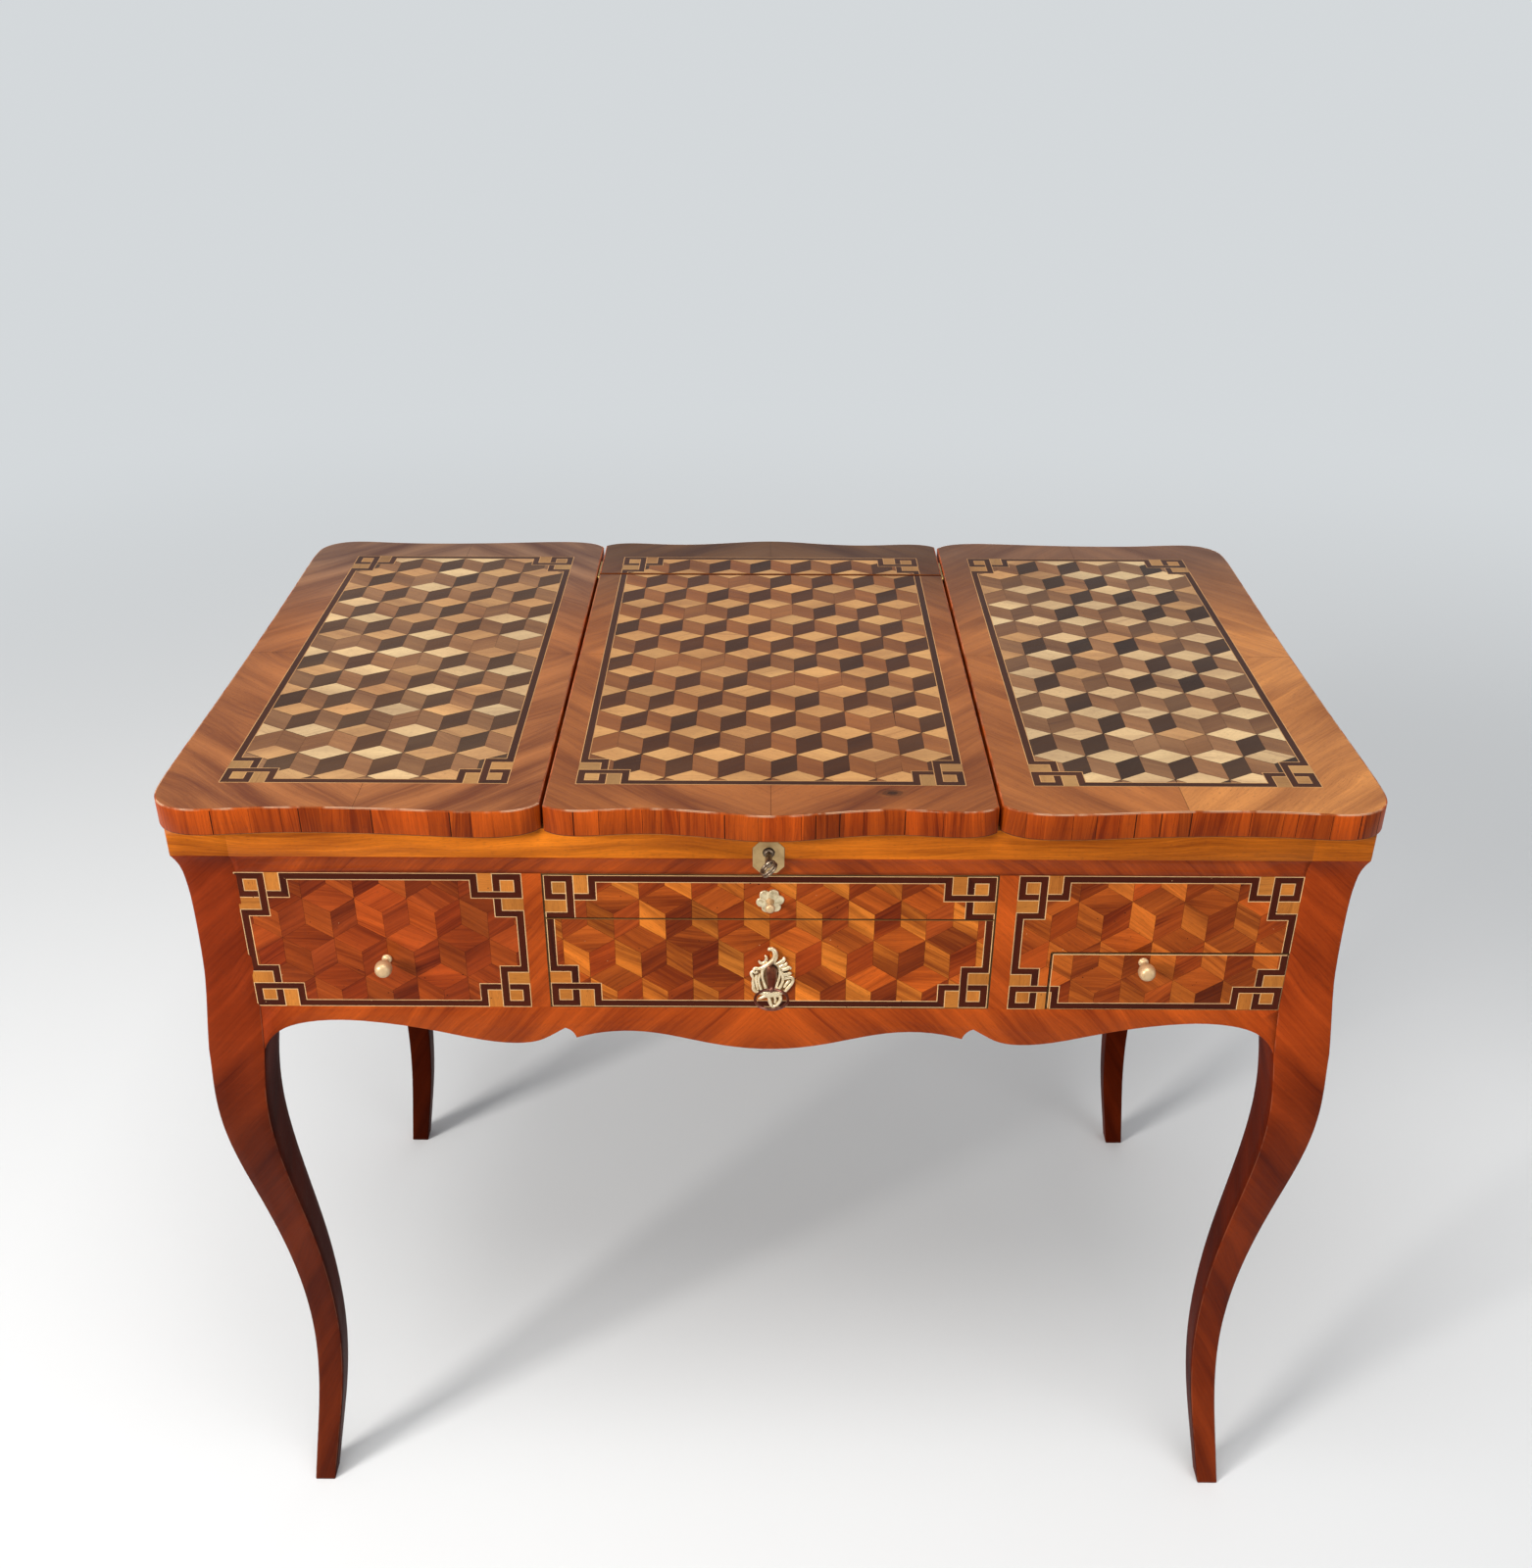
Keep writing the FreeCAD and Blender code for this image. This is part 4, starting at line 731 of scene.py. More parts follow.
def smooth_run(points):
    """Run of points redrawn with even spacing, as a line or a smooth curve."""
    def steps_between(start, end):
        return max(1, round(math.dist(start, end) / OUTLINE_STEP))

    if len(points) > 2:
        return [(p.x, p.y) for p in spline(points, steps_between)]
    (x0, y0), (x1, y1) = points[0], points[-1]
    steps = steps_between(points[0], points[-1])
    return [(x0 + (x1 - x0) * step / steps, y0 + (y1 - y0) * step / steps)
            for step in range(steps)]


def fine_outline(node):
    """Smooth outline of a panel, with its sharp corners kept, and the corners' indices."""
    loop = plan_outline(node)
    corners = corner_indices(loop)
    result, marks = [], []
    for start, end in zip(corners, corners[1:] + [corners[0] + len(loop)]):
        marks.append(len(result))
        run = [loop[i % len(loop)] for i in range(start, end + 1)]
        result += smooth_run(run)
    return result, marks


def inset_loop(loop, distance):
    """Loop moved inwards, with sharp corners mitred."""
    result = []
    for index, (x, y) in enumerate(loop):
        before, after = loop[index - 1], loop[(index + 1) % len(loop)]
        first = Vector((x - before[0], y - before[1])).normalized()
        second = Vector((after[0] - x, after[1] - y)).normalized()
        n0, n1 = Vector((-first.y, first.x)), Vector((-second.y, second.x))
        normal = (n0 + n1).normalized()
        scale = 1 / max(0.5, normal.dot(n0))
        result.append((x + normal.x * distance * scale, y + normal.y * distance * scale))
    return result


# Edge of a top panel: its foot as (inset, height over the case), its arris as (inset, depth below
# the top) and the wear of each step of the arris
# The foot is painted dark, as the shadow line under the edge
FOOT = ((0.5, 0.0), (0.0, 0.8))
ARRIS = ((0.0, 1.1), (0.16, 0.55), (0.5, 0.2), (1.1, JOINT))
ARRIS_WEAR = (0.4, 0.9, 0.7)
EDGE_MARGIN = 0.03

# Share of the wear that is left beside the joints of the lid, and how far from them
JOINT_WEAR, JOINT_REACH = 0.2, 3.0

# Upright strips along the edge: shorter and longer ones, the least length left for the last one,
# and the joints between them as half widths and as the part of the height that they leave
SHORT_STRIP, LONG_STRIP, LAST_STRIP = (9, 18), (18, 42), 12
JOINT_HALVES, JOINT_MARGIN = (0.10, 0.18, 0.40), 0.1

CROSSBAND_INSET = 1.05
CROSSBAND_SLANT = math.radians(42)
CROSSBAND_JOINT = 0.24

# Points of an outline that lie this close to a line count as on it
NEAR = 4.0


def in_seam(x, y):
    """Whether a place lies on the joint between the lid and the rear strip."""
    return abs(x) < LID_HALF_X + 1 and LID_SEAM_Y - NEAR < y < STRIP_FRONT_Y + 2


def panel_edge(sheet, loop, marks):
    """Edge of a top panel: upright strips of veneer under a rubbed arris."""
    count = len(loop)
    lengths = [0.0]
    for p, q in zip(loop, loop[1:] + loop[:1]):
        lengths.append(lengths[-1] + math.hypot(q[0] - p[0], q[1] - p[1]))
    cuts = [0.0]
    while cuts[-1] < lengths[-1] - LAST_STRIP:
        strips = rng.uniform(*SHORT_STRIP), rng.uniform(*LONG_STRIP)
        cuts.append(cuts[-1] + rng.choice(strips))
    cuts[-1] = lengths[-1]
    profile = [(inset, CASE_TOP + rise) for inset, rise in FOOT]
    profile += [(inset, TOP_Z - drop) for inset, drop in ARRIS]
    rings = [inset_loop(loop, max(inset, EDGE_MARGIN)) for inset, _ in profile]
    woods = [vary(EDGE_WOOD, 0.17) for _ in cuts]
    offsets = [new_offset() for _ in cuts]
    columns = {}

    def at(x, y, z):
        return top_plane.point(x, y, z - TOP_Z + JOINT)

    def column(index, fresh):
        key = (index % count, fresh)
        if key not in columns:
            columns[key] = len(sheet.points)
            sheet.points += [at(*ring[index % count], z) for ring, (_, z) in zip(rings, profile)]
        return columns[key]

    strip = 0
    for index in range(count):
        while strip + 1 < len(cuts) and lengths[index] > cuts[strip + 1]:
            strip += 1
        start, end = column(index, index in marks), column(index + 1, False)
        wood, offset, rubbed = woods[strip], offsets[strip], 1.0
        if in_seam(*loop[index]) and in_seam(*loop[(index + 1) % count]):
            wood, rubbed = SHADED_WOOD, 0.0
        elif abs(abs(loop[index][0]) - LID_HALF_X) < JOINT_REACH:
            rubbed = JOINT_WEAR
        near, far = lengths[index], lengths[index + 1]
        for level in range(len(profile) - 1):
            low_z, high_z = profile[level][1], profile[level + 1][1]
            grain = [(offset[0] + z, offset[1] + along) for z, along in
                     ((low_z, near), (low_z, far), (high_z, far), (high_z, near))]
            # Painted shadow: the foot of the edge is dark
            if level == 0:
                face_wood = GROUND_AND_SHADOW_WOOD
            elif level == 1:
                face_wood = wood
            else:
                face_wood = wood._replace(wear=rubbed * ARRIS_WEAR[level - 2])
            sheet.join((start + level, end + level, end + level + 1, start + level + 1), grain,
                       face_wood)
    bottom, top = CASE_TOP + FOOT[1][1] + JOINT_MARGIN, TOP_Z - ARRIS[0][1]
    for cut in cuts[1:-1]:
        index = max(i for i in range(count) if lengths[i] <= cut)
        share = (cut - lengths[index]) / (lengths[index + 1] - lengths[index])
        p, q = loop[index], loop[(index + 1) % count]
        direction = Vector((q[0] - p[0], q[1] - p[1])).normalized()
        outward = Vector((direction.y, -direction.x)) * -EDGE_MARGIN / 2
        middle = Vector(p) + (Vector(q) - Vector(p)) * share
        half = direction * rng.choice(JOINT_HALVES)
        left, right = middle - half + outward, middle + half + outward
        corners = [at(*left, bottom), at(*right, bottom), at(*right, top), at(*left, top)]
        sheet.face(corners, [(0, 0)] * 4, JOINT_WOOD)


def crossband(loop, rect, middle_x, panel):
    """Band round the parquetry, in four quarters whose slanting grain mirrors."""
    count = len(loop)
    woods = {}
    for side_x, side_y in ((-1, -1), (-1, 1), (1, -1), (1, 1)):
        share = INNER_BAND_SHARE if panel == "right" and side_x < 0 else 0.0
        woods[side_x, side_y] = vary(mixed(BAND_WOODS[panel], BAND_WOODS["lid"], share), 0.04)
    # Painted shade and greyish reflection that the band takes on towards the rear
    rear = BAND_WOODS[panel]._replace(tone=REAR_SHADE_TONES[panel])
    offset = new_offset()

    def pull(point):
        return min(max(point[0], rect.x0), rect.x1), min(max(point[1], rect.y0), rect.y1)

    items = []
    for index in range(count):
        p, q = loop[index], loop[(index + 1) % count]
        polygon = [p, q, pull(q), pull(p)]
        if pull(p) == pull(q):
            polygon = polygon[:3]
        for side_x in (-1, 1):
            half = cut_by(polygon, 0, middle_x, side_x)
            for side_y in (-1, 1):
                part = cut_by(half, 1, 0.0, side_y) if len(half) > 2 else []
                if len(part) > 2 and abs(area(part)) > SMALLEST_PIECE / 2:
                    part = part if area(part) > 0 else part[::-1]
                    middle_y = sum(p[1] for p in part) / len(part)
                    wood = mixed(woods[side_x, side_y], rear,
                                 (middle_y - REAR_SHADE_START) / (REAR_SHADE_END - REAR_SHADE_START))
                    items.append(Item(part, FIELD, wood, -CROSSBAND_SLANT, offset,
                                      (side_x, side_y, middle_x)))
    for side in (-1, 1):
        reach = [p[1] for p in loop if abs(p[0] - middle_x) < NEAR and p[1] * side > 0]
        items.append(straight_joint((middle_x, min(reach, key=abs)), (middle_x, side * rect.y1),
                                    CROSSBAND_JOINT))
    for side, edge in ((-1, rect.x0), (1, rect.x1)):
        reach = [p[0] for p in loop if abs(p[1]) < NEAR and (p[0] - middle_x) * side > 0]
        items.append(straight_joint((reach[0], 0.0), (edge, 0.0), CROSSBAND_JOINT))
    return items


def lid_cube(kind):
    """Leaf for one face of a cube on the lid."""
    if kind == "light":
        return vary(LID_LIGHT, 0.10)
    if kind == "left" or rng.random() < 0.16:
        return vary(LID_MEDIUM, 0.13)
    return vary(LID_DARK, 0.22)


def flap_cubes(side):
    """Chooser of leaves for the cubes of the left (-1) or right (1) flap."""
    cream_share = 0.45 if side < 0 else 0.75
    brown_share = 0.0 if side < 0 else 0.45

    def choose(kind):
        if kind == "light":
            return vary(FLAP_CREAM if rng.random() < cream_share else FLAP_TAN, 0.10)
        if kind == "left" or rng.random() < 0.12:
            return vary(FLAP_MEDIUM, 0.14)
        if brown_share and rng.random() < brown_share:
            return vary(FLAP_BROWN, 0.16)
        return vary(FLAP_DARK[side], 0.20)

    return choose


# Radius of the lid's rear edge, and how far the core is drawn in under the veneers
REAR_RADIUS = 3.0
CORE_SIDE, CORE_TOP = 0.22, 0.25


def round_rear(y):
    """Drop of the lid's upper face towards its rounded rear edge."""
    past = y - (LID_SEAM_Y - REAR_RADIUS)
    return 0.0 if past <= 0 else REAR_RADIUS - math.sqrt(max(0.0, REAR_RADIUS ** 2 - past ** 2))


def build_core(node, body):
    """Copy of a panel drawn in a little under its veneers, which stands for the node."""
    mesh = NODES[node].data.copy()
    mesh.materials.clear()
    lowest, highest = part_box(node)
    middle, size = (lowest + highest) / 2, highest - lowest
    fixed = Vector((middle.x, middle.y, lowest.z))
    scale = Vector((1 - 2 * CORE_SIDE * MM / size.x, 1 - 2 * CORE_SIDE * MM / size.y,
                    1 - CORE_TOP * MM / size.z))
    for vertex in mesh.vertices:
        vertex.co = fixed + (vertex.co - fixed) * scale
    mesh.materials.append(LINING_Y)
    place(bpy.data.objects.new(node + "_core", mesh), body, (node,))


def dress_panel(node, body, items, limit=None, rounded=(), band=None):
    """Veneers on the upper face and the edges of one top panel."""
    sheet = Sheet()
    loop, marks = fine_outline(node)
    panel_edge(sheet, loop, marks)
    inner = inset_loop(loop, CROSSBAND_INSET)
    ground = [top_plane.point(x, y, GROUND) for x, y in inner]
    sheet.face(ground, [(0, 0)] * len(inner), GROUND_AND_SHADOW_WOOD)
    if band:
        items = crossband(inner, *band) + items
    for item in items:
        sheet.lay(top_plane, item, limit)
    for start, end in rounded:
        for item in items:
            sheet.lay(top_plane, item, limit._replace(y0=start, y1=end), round_rear)
    sheet.build(node + "_veneer", body)


def top_layout(rect, middle_x, size, choose):
    """Parquetry and fret of the centre or of a flap."""
    pitch = size[1] / 2 + size[2]
    rows = [TOP_FIRST_ROW - row * pitch for row in range(TOP_ROWS)]
    items = cubes(rows, middle_x, size, within(rect, FRET_WIDTH - CUBE_LAP), choose)
    return items + fret(rect, "vhvh", TOP_FILL, TOP_FRET, TOP_STRING)


# The bowed front and rear edges lie farther from the middle than this
BOWED_FROM = 200.0


def whole_centre_loop():
    """Outline of lid and rear strip together, for the crossbanding that runs over both."""
    lid, _ = fine_outline("lid_panel")
    strip, _ = fine_outline("top_rear_strip")
    points = [p for p in lid if p[1] < LID_SEAM_Y - NEAR]
    points += [p for p in strip if p[1] > STRIP_FRONT_Y + 1]
    points.sort(key=lambda p: math.atan2(p[1], p[0]))
    half = LID_HALF_X - CROSSBAND_INSET
    return [(min(max(x, -half), half), y - math.copysign(CROSSBAND_INSET, y)
             if abs(y) > BOWED_FROM else y) for x, y in points]


# Knot in the crossbanding: its place, and its rings as (radius, share of the band's tone)
KNOT_PLACE = (86.0, -233.0)
KNOT = ((12.0, 0.72), (7.5, 0.40), (3.8, 0.16))


def knot(x, y):
    """Small dark knot with a paler halo."""
    wood = BAND_WOODS["lid"]
    items = []
    for index, (size, share) in enumerate(KNOT):
        dark = wood._replace(tone=tuple(share * part for part in wood.tone))
        outline = [(x + size * math.cos(turn / 2) * (1 + 0.12 * math.sin(2 * turn)),
                    y + 0.6 * size * math.sin(turn / 2)) for turn in range(12)]
        items.append(Item(outline, INLAY + 0.01 * (index - 1), dark, math.radians(35),
                          new_offset()))
    return items


# Cuts across the veneers where they bend over the lid's rear edge, the bare arris of the strip
# behind it, and a length beyond every edge
REAR_CUTS = (0.0, 1.1, 2.0, 2.6, 2.92)
STRIP_ARRIS = 0.9
REACH = 500.0


def build_top():
    """Lid, rear strip and flaps."""
    for node, body in (("lid_panel", "lid"), ("top_rear_strip", "case"),
                       ("left_flap", "left_flap"), ("right_flap", "right_flap")):
        build_core(node, body)
    rect = Rect(-TOP_FRET_HALF_X, TOP_FRET_HALF_X, -TOP_FRET_HALF_Y, TOP_FRET_HALF_Y)
    centre = crossband(whole_centre_loop(), rect, 0.0, "lid")
    centre += top_layout(rect, 0.0, TOP_CUBE, lid_cube) + knot(*KNOT_PLACE)
    flat_end = LID_SEAM_Y - REAR_RADIUS
    cuts = [flat_end + past for past in REAR_CUTS]
    whole = Rect(-REACH, REACH, -REACH, flat_end)
    dress_panel("lid_panel", "lid", centre, whole, zip(cuts, cuts[1:]))
    dress_panel("top_rear_strip", "case", centre,
                whole._replace(y0=STRIP_FRONT_Y + STRIP_ARRIS, y1=REACH))
    for side, name in ((-1, "left_flap"), (1, "right_flap")):
        x0, x1 = sorted(side * x for x in FLAP_FRET_X)
        rect = rect._replace(x0=x0, x1=x1)
        items = top_layout(rect, side * FLAP_CUBE_X, FLAP_CUBE, flap_cubes(side))
        dress_panel(name, name, items,
                    band=(rect, (x0 + x1) / 2, "left" if side < 0 else "right"))


# ---------------------------------------------------------------- front and sides

def front_cubes(panel):
    """Chooser of leaves for the cubes of one panel."""
    light, left, right = FRONT_CUBES[panel]
    woods = {"light": light, "left": left, "right": right}
    return lambda kind: vary(woods[kind], rng.choice((0.12, 0.30)))


def specks(rect, count, wood, largest=0.6):
    """Worm holes and nicks strewn over a face."""
    items = []
    for _ in range(count):
        x, y = rng.uniform(rect.x0, rect.x1), rng.uniform(rect.y0, rect.y1)
        radius = rng.uniform(0.25, largest)
        items.append(Item([(x + radius * math.cos(turn), y + 0.8 * radius * math.sin(turn))
                           for turn in (0.3, 1.4, 2.6, 3.7, 4.6, 5.6)], JOINT, wood, 0.0, (0, 0)))
    return items


def panel_items(rect, middle_x, over, panel):
    """Parquetry and fret of one panel of the frieze."""
    items = cubes(FRONT_ROWS, middle_x, FRONT_CUBE, within(rect, FRET_WIDTH - CUBE_LAP),
                  front_cubes(panel), gap=JOINT_GAP / 2)
    items += fret(rect, over, FRONT_FILL, FRONT_FRET, FRONT_STRING)
    return items + specks(rect, 26, GROUND_AND_SHADOW_WOOD) + specks(rect, 6, FRONT_STRING, 0.4)


def lay_on(plane, name, body, items, rect):
    """Veneers of one piece of a face, clipped to its outline."""
    sheet = Sheet()
    sheet.lay(plane, Item(corners_of(rect), GROUND, GROUND_AND_SHADOW_WOOD, 0.0, (0, 0)))
    for item in items:
        sheet.lay(plane, item, rect)
    sheet.build(name, body)


def node_rect(node, margin=0.15):
    """Rectangle of a front piece on the front plane."""
    lowest, highest = low(node), high(node)
    return Rect(lowest.x + margin, highest.x - margin, lowest.z + margin, highest.z - margin)


def build_front():
    """Frieze of the front: three frets laid over six pieces."""
    z0, z1 = FRIEZE_BOTTOM, FRIEZE_TOP
    left = Rect(-POST_INNER_X - FRET_OVERLAP, -PANEL_INNER_X + FRET_OVERLAP, z0, z1)
    right = Rect(PANEL_INNER_X - FRET_OVERLAP, POST_INNER_X, z0, z1)
    centre = Rect(-SLIDE_HALF_X + 0.7, SLIDE_HALF_X - 0.7, z0 + 0.9, z1 - 1.2)
    left_items = panel_items(left, (left.x0 + left.x1) / 2, "vhvh", "left")
    right_items = panel_items(right, (right.x0 + right.x1) / 2, "vvhh", "right")
    centre_items = panel_items(centre, 0.0, "vhvh", "centre")
    drawer = node_rect("small_drawer_front", 0)
    # Outline of the small drawer: near-black seams widened into a painted shadow line, with a
    # string inside them
    for edge, level_width, upright_width, wood in (
            (drawer, 1.7, 1.6, SEAM_AND_SHADOW_WOOD), (within(drawer, 1.25), 0.9, 0.6, FRONT_STRING)):
        corner = (edge.x0, edge.y1)
        right_items += [straight_joint(corner, (edge.x1, edge.y1), level_width, wood),
                        straight_joint((edge.x0, edge.y0), corner, upright_width, wood)]
    # Seam between the slide and the drawer, widened into a painted shadow line
    seam = node_rect("slide_front", 0).y0
    centre_items.append(straight_joint((centre.x0, seam), (centre.x1, seam), 1.4, SEAM_AND_SHADOW_WOOD))
    panel, stile = node_rect("right_front_panel", 0), node_rect("right_drawer_stile", 0)
    lay_on(front_plane, "left_panel_veneer", "case", left_items, left)
    lay_on(front_plane, "right_panel_veneer", "case", right_items, panel._replace(x0=right.x0))
    lay_on(front_plane, "right_stile_veneer", "case", right_items, stile._replace(x0=right.x0))
    lay_on(front_plane, "small_drawer_veneer", "small_drawer", right_items,
           node_rect("small_drawer_front"))
    lay_on(front_plane, "slide_veneer", "writing_slide", centre_items, node_rect("slide_front"))
    lay_on(front_plane, "centre_drawer_veneer", "centre_drawer",
           centre_items, node_rect("centre_drawer_front"))
    inner, outer = low("partition_right").x, high("partition_right").x - FRET_OVERLAP
    for side, name in ((-1, "left"), (1, "right")):
        x0, x1 = sorted((side * inner, side * outer))
        rect = Rect(x0 + 0.1, x1 - 0.1, z0, z1)
        strip = Item(corners_of(rect), FIELD, APRON_WOOD, -side * math.radians(48), new_offset())
        lay_on(front_plane, "stile_veneer_" + name, "case", [strip], rect)


def build_sides():
    """Sides of the frieze, in the manner of the front."""
    rect = Rect(-POST_INNER_Y, POST_INNER_Y, FRIEZE_BOTTOM, FRIEZE_TOP)
    for plane, name in ((left_plane, "left_side_veneer"), (right_plane, "right_side_veneer")):
        lay_on(plane, name, "case", panel_items(rect, 0.0, "vhvh", "right"), rect)


# ---------------------------------------------------------------- rails, aprons and legs

DIAGONAL = math.sqrt(0.5)
# Slope of the figure's streaks over the height of the legs, from the floor up
LEG_SLOPES = ((0.0, 0.34), (250.0, 0.42), (420.0, 0.60), (520.0, DIAGONAL))


def mixed(first, second, share):
    """Wood between two others."""
    share = min(1.0, max(0.0, share))
    tone = tuple(p + share * (q - p) for p, q in zip(first.tone, second.tone))
    return second._replace(tone=tone) if share > 0.5 else first._replace(tone=tone)


def rise_of_grain(z):
    """Place across the grain at a height, with steeper streaks towards the foot."""
    total = 0.0
    for (z0, slope0), (z1, slope1) in zip(LEG_SLOPES, LEG_SLOPES[1:]):
        if z > z0:
            share = (min(z, z1) - z0) / (z1 - z0)
            total += (z1 - z0) * share * (slope0 + (slope1 - slope0) * share / 2)
    return total + max(0.0, z - LEG_SLOPES[-1][0]) * LEG_SLOPES[-1][1]


def frame_grain(x, y, z, front, face, band):
    """Grain of the frame: level on the band, slanting up to the middle below it."""
    run = x if front else y
    if band:
        return run + face, z + face
    run = -abs(run)
    return face + (run + z) * DIAGONAL, face + rise_of_grain(z) - run * DIAGONAL


def frame_face(front, positive):
    """Place of a side of the table on the veneer leaf."""
    return (1700 if positive else 0) if front else (2300 if positive else 700)


def frame_paint(point, normal, centre):
    """Grain and wood of a rail or board."""
    x, y, z = point.x / MM, point.y / MM - CENTRE_Y, point.z / MM
    front = abs(normal.y) >= abs(normal.x)
    if abs(normal.z) > 0.75:
        wood = RIM_WOOD if normal.z > 0 else SHADED_WOOD
        return ((x if front else y) + 350, y if front else x), wood
    band = centre.z / MM > BAND_BOTTOM
    on_side = abs(x) > POST_INNER_X + 5
    inner = (math.copysign(normal.x, normal.x * x) if on_side
             else math.copysign(normal.y, normal.y * y)) < -0.9
    face = frame_face(front, (normal.y if front else normal.x) > 0)
    grain = frame_grain(x, y, z, front, face, band or inner)
    if inner:
        return grain, LINING_WOOD
    if band:
        return grain, MOULD_WOOD
    post = POST_WOOD[-1 if x < 0 else 1]
    return grain, mixed(APRON_WOOD, post, (abs(x) - 330) / 50 if front else 1.0)


def leg_wood(z, side, inner):
    """Wood of a leg: darker below the apron, partly its own tone and partly painted shade, and with
    painted shade on its inner faces.
    """
    if inner and z > FRIEZE_BOTTOM:
        return LINING_WOOD
    if z > BAND_BOTTOM:
        return MOULD_WOOD
    # Darker down the leg below the apron: partly the wood's tone, partly painted shade
    wood = mixed(POST_WOOD[side], LEG_WOOD[side], (FRIEZE_BOTTOM + 20 - z) / 130)
    # Painted shade: the inner faces keep only a share of their tone
    if inner:
        wood = wood._replace(tone=tuple(map(operator.mul, INNER_SHADE_SHARE, wood.tone)),
                             shine=INNER_SHINE)
    return wood


# Arris of rails and boards, and how close to their butted ends it stops
RAIL_ARRIS = 0.45
BUTT = 0.3


def dress(node, split=Vector((1, 0, 0))):
    """Copy of a node with eased arrises and veneered faces, which stands for the node."""
    work = bmesh.new()
    work.from_mesh(NODES[node].data)
    bmesh.ops.remove_doubles(work, verts=work.verts, dist=2e-6)
    bmesh.ops.dissolve_limit(work, angle_limit=math.radians(0.4), verts=work.verts,
                             edges=work.edges)
    sharp = [edge for edge in work.edges
             if len(edge.link_faces) == 2 and edge.calc_face_angle() > math.radians(42)]
    spots = np.array([v.co for v in work.verts])
    long_axis = int(np.argmax(np.ptp(spots, axis=0)[:2]))
    ends = spots[:, long_axis].min(), spots[:, long_axis].max()
    sharp = [edge for edge in sharp
             if all(max(abs(v.co[long_axis] - end) for v in edge.verts) > BUTT * MM
                    for end in ends)]
    bmesh.ops.bevel(work, geom=sharp, offset=RAIL_ARRIS * MM, offset_type="OFFSET", segments=2,
                    profile=0.5, affect="EDGES", clamp_overlap=True)
    for middle, normal in ((Vector((0, CENTRE_Y * MM, 0)), split),
                           (Vector((0, 0, BAND_BOTTOM * MM)), Vector((0, 0, 1)))):
        bmesh.ops.bisect_plane(work, geom=work.verts[:] + work.edges[:] + work.faces[:], dist=1e-6,
                               plane_co=middle, plane_no=normal)
    corners, shines = [], []
    for face in work.faces:
        face.smooth = True
        centre = face.calc_center_median()
        corners += [frame_paint(loop.vert.co, face.normal, centre) for loop in face.loops]
        shines.append(corners[-1][1].shine)
    mesh = bpy.data.meshes.new(node + "_veneered")
    work.to_mesh(mesh)
    work.free()
    mesh.set_sharp_from_angle(angle=math.radians(50))
    add_veneers(mesh, corners, shines)
    piece = bpy.data.objects.new(node + "_veneered", mesh)
    place(piece, "case", (node,))


def section_at(triangles, z):
    """Points of a mesh's section at a height, where the sides of its triangles cross it."""
    found = []
    for a, b in ((0, 1), (1, 2), (2, 0)):
        p, q = triangles[:, a], triangles[:, b]
        across = (p[:, 2] - z) * (q[:, 2] - z) < 0
        p, q = p[across], q[across]
        share = ((z - p[:, 2]) / (q[:, 2] - p[:, 2]))[:, None]
        found.append(p + (q - p) * share)
    return np.concatenate(found)[:, :2]


def leg_corners(triangles, z, sign_x, sign_y):
    """Corners of the leg's section, going round from the outer arris by the front face."""
    points = section_at(triangles, z) * (sign_x, sign_y)
    outer_x, inner_x = points[:, 0].max(), points[:, 0].min()
    outer_y, inner_y = points[:, 1].max(), points[:, 1].min()
    near = 0.3 * MM
    edge_y = points[points[:, 0] < inner_x + near][:, 1].max()
    edge_x = points[points[:, 1] < inner_y + near][:, 0].max()
    return [Vector((x * sign_x, y * sign_y)) for x, y in
            ((outer_x, outer_y), (inner_x, edge_y), (inner_x, inner_y), (edge_x, inner_y))]


# Legs: steps across a face, size of the sole, rounding of the arrises and of those on the boards
LEG_FACE_STEPS = 4
SOLE_SHARE = 0.97
LEG_ARRIS = 1.1
BUTTED_ARRIS = 0.12


